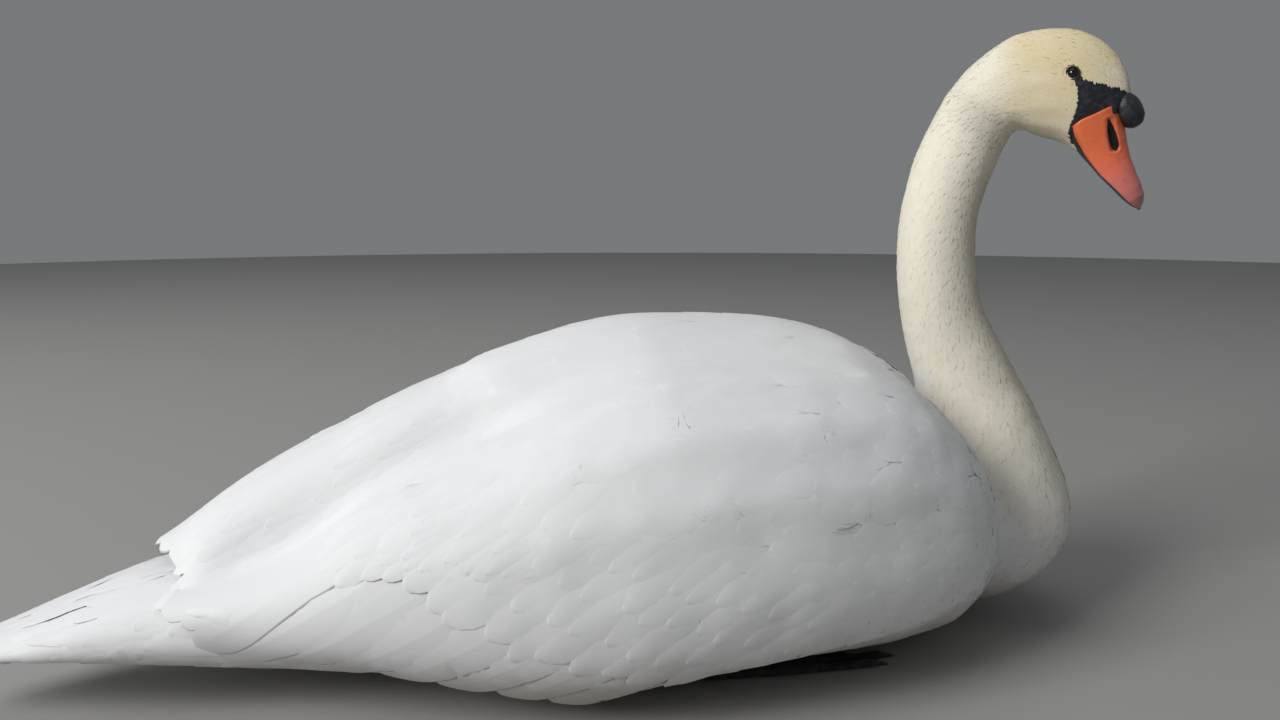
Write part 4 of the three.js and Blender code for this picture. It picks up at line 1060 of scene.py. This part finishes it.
# All but the roof of the mouth reaches a little further ahead.
ring[..., 0] += 0.4 * share * (np.arange(ring.shape[1]) != len(arc) + 1)
nail_mat, tree, shader = plain_material("nail_horn", (0.42, 0.20, 0.18), 0.34)
streak = speckle(tree, 240.0, 5.0)
mixed = blend(tree, between(tree, streak, 0.35, 0.7), (0.46, 0.17, 0.15, 1), (0.40, 0.27, 0.22, 1))
tree.links.new(mixed, shader.inputs["Base Color"])
roughened(tree, shader, streak, 0.3, 0.0004)
nail = grid_piece("nail_horn", from_bill(ring / 1000), nail_mat)
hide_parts("bill_nail")

# The lower bill: a shallow black trough that closes up inside the edges of the upper one, as
# [along, half width, depth].
LOWER = np.array((
    (36, 15.5, -27.8), (46, 14.8, -28.6), (56, 13.8, -28.0), (64, 13.4, -27.0), (76, 13.0, -25.8),
    (90, 12.6, -23.4), (100, 11.2, -21.8), (105, 8.6, -20.4), (108, 4.0, -19.2)))
LOWER_START, LOWER_END = LOWER[[0, -1], 0]
LOWER_ROWS = 60
trough = np.linspace(-np.pi / 2, np.pi / 2, 25)
along, _ = crossed(LOWER_START + (LOWER_END - LOWER_START) * np.linspace(0, 1, LOWER_ROWS), trough)
wide, deep = (np.interp(along, LOWER[:, 0], LOWER[:, k]) for k in (1, 2))
top = bill_numbers(along)[2] + 1.2
points = np.stack([along, wide * np.sin(trough), top + (deep - top) * np.cos(trough) ** 0.7], -1)
flat_top = np.stack([along[:, 0], 0 * along[:, 0], top[:, 0] + 0.3], -1)[:, None]
ring = np.concatenate([points, flat_top], 1)[:, ::-1]
lower_mat = skin_material("lower_bill", (0.016, 0.014, 0.014), (0.05, 0.03, 0.026), 0.38, 700.0, 0.0001)
lower = grid_piece("bill_trough", from_bill(ring / 1000), lower_mat)
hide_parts("bill_lower")

# ---------------------------------------------------------------- eyes
# Dark brown glossy eyes, two thirds sunk in the head as the real ones are. A thin black lid, a
# ring of bare skin, holds each one.
EYE_RADIUS = 0.0052
lid_skin = skin_material("lid_skin", (0.006, 0.006, 0.007), (0.014, 0.014, 0.017), 0.6, 1200.0, 0.00004)
eye_mat, tree, shader = plain_material("eye_gloss", (0.012, 0.007, 0.005), 0.12, (
    ("Specular IOR Level", 0.3), ("Coat Weight", 0.5), ("Coat Roughness", 0.03)))
pupil = between(tree, mapped(tree, "place").outputs[0], 0.52, 0.44)
brown = blend(tree, speckle(tree, 1400.0), (0.010, 0.006, 0.004, 1), (0.018, 0.010, 0.007, 1))
tree.links.new(blend(tree, pupil, brown, (0.002, 0.002, 0.002, 1)), shader.inputs["Base Color"])
polar, spin = crossed(np.linspace(0.02, np.pi - 0.02, 36), circle(56))
tube, wind = crossed(circle(14), circle(72))
for side, label in ((-1, "right"), (1, "left")):
    bulge = EYE_RADIUS * (1 + 0.05 * np.exp(-(polar / 0.55) ** 2))
    ball = np.stack([np.sin(polar) * np.cos(spin), side * np.cos(polar),
                     side * np.sin(polar) * np.sin(spin)], -1)
    middle = EYE_AT * (1, side, 1)
    eye = grid_piece("eyeball_" + label, from_bill(ball * bulge[..., None] + middle), eye_mat,
                     np.stack([polar, spin], -1))
    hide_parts("eye_" + label)
    reach = 0.0044 + 0.0008 * np.cos(tube)
    lid_at = np.stack([reach * np.cos(wind) * 1.04, side * (0.0031 + 0.0011 * np.sin(tube)),
                       reach * np.sin(wind) * 0.97], -1)
    grid_piece("eyelid_" + label, from_bill(lid_at + middle)[::side], lid_skin, ends=False)

# ---------------------------------------------------------------- wings
# The folded wings lie along the flanks, the left one lapped over the right on the rump. Their
# long flight feathers run back and down from under the coverts, each upper one over the next
# lower one, and their rounded tips scallop the lower edge.
AXIS_X = (-0.586, -0.44, -0.30, 0.0, 0.165)
AXIS_Z = (0.042, 0.060, 0.084, 0.100, 0.090)


def axis_height(x):
    return np.interp(x, AXIS_X, AXIS_Z)


class Sheet:
    """The outer face of a folded wing or of the back, as a distance from a line through the body
    at each place along it (x) and each turn round it, made smooth and carried on past its edges."""
    step, pitch = 0.004, math.radians(2)

    def __init__(self, parts, side, low, high, inset):
        places, faces = solids(parts)
        tree = BVHTree.FromPolygons(places, faces)
        self.side = side
        ends = [p[0] for p in places]
        self.x0 = min(ends) - 0.03
        self.turn0 = math.radians(low)
        xs = np.arange(self.x0, max(ends) + 0.03, self.step)
        turns = np.arange(self.turn0, math.radians(high) + 0.01, self.pitch)
        grid = np.full((len(xs), len(turns)), np.nan)
        far = 0.5
        for i, x in enumerate(xs):
            for j, turn in enumerate(turns):
                out = Vector((0, side * math.cos(turn), math.sin(turn)))
                start = Vector((x, 0, float(axis_height(x)))) + out * far
                hit = tree.ray_cast(start, -out, far)[3]
                if hit is not None:
                    grid[i, j] = far - hit
        grid = carried_on(carried_on(grid, 0.004).T, 0.0011).T
        self.grid = blurred(blurred(grid, 0, 4.5), 1, 2.3) - inset
        self.slope_x = np.gradient(self.grid, self.step, axis=0)
        self.slope_turn = np.gradient(self.grid, self.pitch, axis=1)

    def look_up(self, grid, x, turn):
        i = np.clip((x - self.x0) / self.step, 0, grid.shape[0] - 1.001)
        j = np.clip((turn - self.turn0) / self.pitch, 0, grid.shape[1] - 1.001)
        a, b = i.astype(int), j.astype(int)
        u, v = i - a, j - b
        return ((grid[a, b] * (1 - v) + grid[a, b + 1] * v) * (1 - u)
                + (grid[a + 1, b] * (1 - v) + grid[a + 1, b + 1] * v) * u)

    def place(self, x, turn):
        r = self.look_up(self.grid, x, turn)
        return np.stack([x, self.side * r * np.cos(turn), axis_height(x) + r * np.sin(turn)], -1)

    def nearest(self, points):
        x = points[..., 0]
        turn = np.arctan2(points[..., 2] - axis_height(x), self.side * points[..., 1])
        turn = np.where(turn < self.turn0 - 0.3, turn + 2 * np.pi, turn)
        r, rx, rt = (self.look_up(grid, x, turn) for grid in (self.grid, self.slope_x, self.slope_turn))
        c, s = np.cos(turn), np.sin(turn)
        fall = (axis_height(x + 0.001) - axis_height(x - 0.001)) / 0.002
        along = np.stack([np.ones_like(x), self.side * rx * c, fall + rx * s], -1)
        over = np.stack([np.zeros_like(x), self.side * (rt * c - r * s), rt * s + r * c], -1)
        normal = unit(np.cross(along, over)) * -self.side
        return np.stack([x, self.side * r * c, axis_height(x) + r * s], -1), normal

    def turn_at(self, x, axis, value, low=-50, high=88):
        """The turn, between low and high degrees, at which the sheet has that y or z."""
        turns = np.radians(np.arange(low, high, 2.0))
        found = []
        for one, wanted in zip(np.ravel(x), np.ravel(value)):
            run = self.place(np.full(len(turns), one), turns)[:, axis]
            order = np.argsort(run)
            found.append(np.interp(wanted, run[order], turns[order]))
        return np.array(found).reshape(np.shape(x))


def carried_on(grid, steepest):
    """Fills the unmeasured ends of each row, bending gently inwards."""
    done = grid.copy()
    for row in done:
        known = np.flatnonzero(~np.isnan(row))
        if len(known) < 6:
            continue
        for end, step in ((known[0], 1), (known[-1], -1)):
            reach = row[end + step * np.arange(4)]
            slope = np.clip((reach[0] - reach[3]) / 3, -steepest, 0.0006)
            slope = 0.0 if np.isnan(reach).any() else slope
            free = np.arange(0, end) if step > 0 else np.arange(end + 1, len(row))
            row[free] = row[end] + slope * 8 * (1 - np.exp(-np.abs(free - end) / 8))
        gaps = np.isnan(row)
        row[gaps] = np.interp(np.flatnonzero(gaps), np.flatnonzero(~gaps), row[~gaps])
    return done


def blurred(grid, axis, width):
    reach = int(3 * width)
    kernel = np.exp(-0.5 * (np.arange(-reach, reach + 1) / width) ** 2)
    kernel /= kernel.sum()
    grid = np.moveaxis(grid, axis, 0)
    padded = np.pad(grid, ((reach, reach), (0, 0)), "edge")
    made = sum(k * padded[i:i + len(grid)] for i, k in enumerate(kernel))
    return np.moveaxis(made, 0, axis)


# The right wing's sheet, then the left one's.
wing_sheets = [Sheet(WINGS[side], sign, -50, 150, COAT_DEPTH)
               for side, sign in (("right", -1), ("left", 1))]
BLADE_U = np.array((-1, -0.78, -0.5, -0.22, -0.05, 0, 0.05, 0.22, 0.5, 0.78, 1))
BLADE_ROWS = 64
TIP_ROWS = 12
BLADE_THICK = 0.0007
SLANT = 0.35


def blade(coat, sheet, path, half, lift, tilt, seed, splits=5, tuck=0.0):
    """One long feather. path is [x, turn] from root to tip, lift the height of its root, middle and
    tip over the sheet, tilt how much higher its lower edge lies than its upper one, splits how
    often its barbs part, and tuck how far its upper edge turns down."""
    random = np.random.default_rng(seed)
    line = drawn_through(np.array(path), 200)
    spine = sheet.place(line[:, 0], line[:, 1])
    run = np.r_[0, np.cumsum(np.linalg.norm(np.diff(spine, axis=0), axis=1))]
    length = run[-1]
    blunt = 1 - 1.25 * half / length
    t = np.r_[np.linspace(0, blunt, BLADE_ROWS - TIP_ROWS, endpoint=False),
              blunt + (1 - blunt) * np.sin(np.linspace(0, 0.94, TIP_ROWS) * np.pi / 2)]
    spine = np.stack([np.interp(t * length, run, spine[:, k]) for k in range(3)], 1)
    place, normal = sheet.nearest(spine)
    way = unit(np.gradient(place, t, axis=0))
    side = np.cross(normal, way)
    low = -sheet.side
    share = (0.6 + 0.4 * ramp(t, 0, 0.35)) * np.sqrt(1 - (np.maximum(t - blunt, 0) / (1 - blunt)) ** 2)
    u = BLADE_U
    edge = np.ones((len(t), len(u)))
    drop = np.zeros((len(t), len(u)))
    for _ in range(splits):
        row = random.integers(BLADE_ROWS // 3, BLADE_ROWS - TIP_ROWS - 1)
        where = random.choice((-1, 1), p=(0.3, 0.7)) * low
        outer = u * where > 0.4
        edge[row, outer] -= random.uniform(0.01, 0.05)
        drop[row, outer] -= random.uniform(0.0002, 0.0005)
    half_at = half * share[:, None] * edge
    point = (place[:, None] + side[:, None] * (u * half_at)[..., None]
             + way[:, None] * (SLANT * np.abs(u) * half_at - SLANT * half * 0.6 * u ** 2)[..., None])
    point, out = sheet.nearest(point)
    rise = (np.interp(t, (0, 0.5, 1), lift)[:, None]
            + tilt * (share * ramp(t, 0.25, 0.75))[:, None] * (u * low + 1) / 2)
    shaft = 0.0003 * (np.abs(u) < 0.01) * (1 - t[:, None]) ** 0.5
    bent = 0.0007 * np.abs(u) ** 3 + tuck * ramp(-u * low, 0.35, 1.0)
    top = point + out * (rise + drop + shaft - bent)[..., None]
    shown = unit(0.6 * facing(top[None], out[None]) + 0.4 * out[None])
    coat.add(top[None], BLADE_THICK, shown, body_unwrap(place[:1]), random.random(1), u, t)


# Flight feathers of a wing, lowest first: [off of the lower edge, run of the tip], in millimetres.
FLIGHT = ((104, 150), (128, 172), (153, 200), (176, 228), (196, 262), (217, 291), (236, 306), (254, 312))
# The flight feathers carry more painted shade along their edges, as thin grey shadow lines between them.
stiff_plumage = plumage_material("stiff_plumage", 260.0, 0.00004, 0.42)
flight_coat = Coat("flight_feathers", stiff_plumage, "plumage_white")
for left, sheet in enumerate(wing_sheets):
    random = np.random.default_rng(21 + left)
    for k, (lower, tip) in enumerate(FLIGHT):
        half = 0.0175 + random.uniform(-0.0008, 0.0008)
        off = lower / 1000 + half * 0.75 + random.uniform(-0.001, 0.001)
        end = tip / 1000 + random.uniform(0.001, 0.005)
        runs = end - np.linspace(0.19, 0, 7)
        sag = 0.004 * np.linspace(0, 1, 7) ** 3
        x, z = wing_xz(off - sag, runs)
        blade(flight_coat, sheet, np.stack([x, sheet.turn_at(x, 2, z)], 1), half,
              (-0.0030, 0.0000, 0.0008), 0.0014, 100 * k + left)

# Tertials: broad feathers from the elbows back over the rump. The left wing's lap over the
# midline and lie on the right wing, and their edge makes the crease down the back.
LAP_X = (-0.440, -0.425, -0.405, -0.352, -0.284, -0.260, -0.200)
LAP_Y = (-0.020, -0.038, -0.046, -0.044, -0.041, -0.052, -0.052)
TERTIAL_TIPS = ((-0.424, -0.413, -0.402), (-0.428, -0.438, -0.443, -0.443, -0.440, -0.432))
for left, sheet in enumerate(wing_sheets):
    random = np.random.default_rng(31 + left)
    top = (0.0002, 0.0006)[left]
    for k, tip in reversed(list(enumerate(TERTIAL_TIPS[left]))):
        half = 0.0185 + random.uniform(-0.001, 0.001)
        x = tip + np.linspace(0.215, 0, 7)
        if left:
            turn = sheet.turn_at(x, 1, np.interp(x, LAP_X, LAP_Y) + half * 0.97 + 0.0175 * k, 20, 150)
        else:
            turn = sheet.turn_at(x, 1, -0.064 - 0.012 * k - 0.05 * (x - tip) * (1 + 0.3 * k), 15, 120)
        blade(flight_coat, sheet, np.stack([x, turn], 1), half, (-0.0040, top, top + 0.0006), 0.0006,
              700 + 10 * k + left, splits=3, tuck=0.0012)
flight_coat.finish()

# Coverts: four rows of shorter, softer feathers over the roots of the flight feathers, and the
# scapulars, long ones from the shoulder over the joint of wing and back. Where the back stands out
# beyond the flight feathers, long narrow ones of its own lie over it.
covert_coat = Coat("wing_coverts", plumage, "plumage_white")
COVERT = ((0, 0.45), (0.2, 0.75), (0.45, 0.95), (0.7, 1.0), (0.86, 0.86), (0.95, 0.6), (1.0, 0.28))
# The rows of coverts: how far before the first row, length, half width, space, rise.
COVERT_ROWS = ((0.0, 0.078, 0.0132, 0.0160, 0.0009), (0.030, 0.066, 0.0126, 0.0145, 0.0007),
               (0.058, 0.060, 0.0124, 0.0140, 0.0005), (0.084, 0.056, 0.0120, 0.0135, 0.0004))
COVERT_WAY = np.array((-0.857, 0.0, -0.515))
BACK_SPACING = 0.0085
# The roots of each pair of scapulars, as [x, distance from the middle].
SCAPULARS = ((-0.165, 0.030), (-0.150, 0.048), (-0.125, 0.068), (-0.085, 0.036), (-0.070, 0.058),
             (-0.045, 0.080), (-0.010, 0.042), (0.000, 0.066), (0.020, 0.088))


def beyond_flight(p):
    """True where the back stands out beyond the flight feathers."""
    # By the coverts' tips they lie deeper. On the wings' sides the skin lies deeper too.
    deep = past_coverts(p) < 0.012
    low = (p[:, 2] < 0.142) & (np.abs(p[:, 1]) > 0.088)
    bare = np.zeros(len(p), bool)
    for sheet in wing_sheets:
        across, up = sheet.side * p[:, 1], p[:, 2] - axis_height(p[:, 0])
        reach = sheet.look_up(sheet.grid, p[:, 0], np.arctan2(up, across))
        bare |= (np.hypot(across, up) > reach + np.where(deep, -0.0008, 0.0012)) & (across > -0.02)
    return bare & ~low & on_flight(p) & (p[:, 0] > -0.388) & (p[:, 0] < -0.10)


random = np.random.default_rng(43)
roots = scattered(body_form, lambda p: np.full(len(p), BACK_SPACING), beyond_flight, 7)
count = len(roots)
way = COVERT_WAY + 0.05 * random.normal(size=(count, 3))
# None reaches past the wings' ends.
length = np.minimum(random.uniform(0.046, 0.060, count), (roots[:, 0] + 0.428) / -COVERT_WAY[0])
laid(covert_coat, body_form, roots, way, length, random.uniform(0.0072, 0.0090, count),
     random.uniform(0.0004, 0.0009, count), COVERT, crown=0.0004, pressed=0.0006)
for left, sheet in enumerate(wing_sheets):
    random = np.random.default_rng(41 + left)
    for back_by, length, half, apart, rise in COVERT_ROWS:
        off = np.arange(0.066 + random.uniform(0, apart), 0.316, apart)
        off = off + random.uniform(-0.0015, 0.0015, len(off))
        run = (np.interp(off, COVERT_OFF, COVERT_TIP) - back_by - length
               + random.uniform(-0.003, 0.003, len(off)))
        x, z = wing_xz(off, run)
        at = sheet.place(x, sheet.turn_at(x, 2, z))
        way = COVERT_WAY + 0.04 * random.normal(size=at.shape)
        laid(covert_coat, body_form, at, way, length * random.uniform(0.95, 1.05, len(off)),
             half * random.uniform(0.95, 1.08, len(off)), rise * random.uniform(0.8, 1.2, len(off)),
             COVERT, crown=0.0004, pressed=0.0006)
    for from_x, out_y in SCAPULARS:
        at = [(from_x, sheet.side * (out_y + spread), 0.24) for spread in (-0.008, 0.008)]
        at, _ = body_form.nearest(np.array(at) + random.uniform(-0.003, 0.003, (2, 3)))
        way = np.array((-1.0, -sheet.side * 0.03, -0.15)) + 0.03 * random.normal(size=at.shape)
        laid(covert_coat, body_form, at, way, random.uniform(0.080, 0.095, 2),
             random.uniform(0.0155, 0.0175, 2), np.full(2, 0.0005), COVERT, crown=0.0003, pressed=0.0006)
covert_coat.finish()

# Here and there the barbs of a vane part, and show as a cluster of short slanting strokes.
split_coat = Coat("barb_splits", plumage, "plumage_white")
SPLIT_CLUSTERS = 60
STROKE_HALF = 0.00055
STROKE_APART = 0.0017
for left, sheet in enumerate(wing_sheets):
    random = np.random.default_rng(51 + left)
    at, way, length = [], [], []
    for _ in range(SPLIT_CLUSTERS):
        off = random.uniform(0.10, 0.31)
        run = random.uniform(-0.10, np.interp(off, COVERT_OFF, COVERT_TIP) - 0.015)
        lean = math.radians(random.choice((-1, 1), p=(0.25, 0.75)) * random.normal(48, 12))
        strokes = random.integers(3, 9)
        reach = random.uniform(0.006, 0.013)
        for k in range(strokes):
            turned = -FEATHER_FALL + lean + math.radians(random.normal(0, 4))
            x, z = wing_xz(off + random.normal(0, 0.0008), run + STROKE_APART * k)
            at.append((x, z))
            way.append((-math.cos(turned), 0, math.sin(turned)))
            length.append(reach * random.uniform(0.6, 1.1))
    x, z = np.array(at).T
    at = sheet.place(x, sheet.turn_at(x, 2, z))
    laid(split_coat, body_form, at, np.array(way), np.array(length), np.full(len(x), STROKE_HALF),
         random.uniform(0.0001, 0.0003, len(x)), ((0, 0.6), (0.5, 1.0), (1.0, 0.3)), 3, thick=0.0005,
         relief=0.35, sink=0.0, pressed=0.0002)
split_coat.finish()

# ---------------------------------------------------------------- tail
# A short wedge of 21 stiff white feathers, the middle one longest and on top, that rests behind
# the body. They are rooted in the rump, under its long loose feathers.
tail_coat = Coat("tail_feathers", stiff_plumage, "plumage_white")


class TailSheet:
    """The upper face of the tail's wedge, as a height over the ground at each x and y."""
    side = -1

    def nearest(self, points):
        x, y = points[..., 0], points[..., 1]
        place = np.stack([x, y, self.height(x, y)], -1)
        e = 0.001
        dx = (self.height(x + e, y) - self.height(x - e, y)) / (2 * e)
        dy = (self.height(x, y + e) - self.height(x, y - e)) / (2 * e)
        return place, unit(np.stack([-dx, -dy, np.ones_like(x)], -1))

    def height(self, x, y):
        middle = np.interp(x, (-0.59, -0.56, -0.51, -0.46, -0.41, -0.36),
                           (0.043, 0.050, 0.066, 0.084, 0.096, 0.108))
        wide = np.interp(x, (-0.59, -0.51, -0.435, -0.36), (0.03, 0.052, 0.070, 0.09))
        return middle - 0.018 * (y / wide) ** 2

    def place(self, x, y):
        return np.stack([x, y, self.height(x, y)], -1)


tail_sheet = TailSheet()
TAIL_PAIRS = 10
TAIL_HALF = 0.0135
for k in range(TAIL_PAIRS, -1, -1):
    for side in ((-1, 1) if k else (1,)):
        root_y, tip_y = side * 0.0030 * k, side * 0.0040 * k
        tip_x = -0.586 + 0.0065 * k ** 1.15
        path = ((-0.37 + 0.001 * k, root_y), (-0.45, root_y + 0.35 * (tip_y - root_y)),
                (tip_x + 0.05, root_y + 0.7 * (tip_y - root_y)), (tip_x, tip_y))
        lift = (-0.005 - 0.0006 * k, -0.0035 - 0.0007 * k, -0.0010 - 0.0006 * k)
        blade(tail_coat, tail_sheet, path, TAIL_HALF, lift, 0.0, 300 + 2 * k + (side > 0), splits=8)
tail_coat.finish()

# ---------------------------------------------------------------- legs, feet and claws
# Black leathery legs folded under the body, webbed toes flat on the ground, and blunt black
# claws of horn. The skin is cast in fine plates.
foot_skin = skin_material("foot_skin", (0.014, 0.013, 0.013), (0.040, 0.036, 0.032), 0.55, 420.0, 0.0004)
claw_horn = skin_material("claw_horn", (0.020, 0.017, 0.014), (0.070, 0.060, 0.048), 0.38, 1500.0, 0.00008)
for name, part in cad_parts.items():
    if name.startswith(("leg_", "foot_", "claw_")):
        part.material_slots[0].material = claw_horn if name.startswith("claw_") else foot_skin
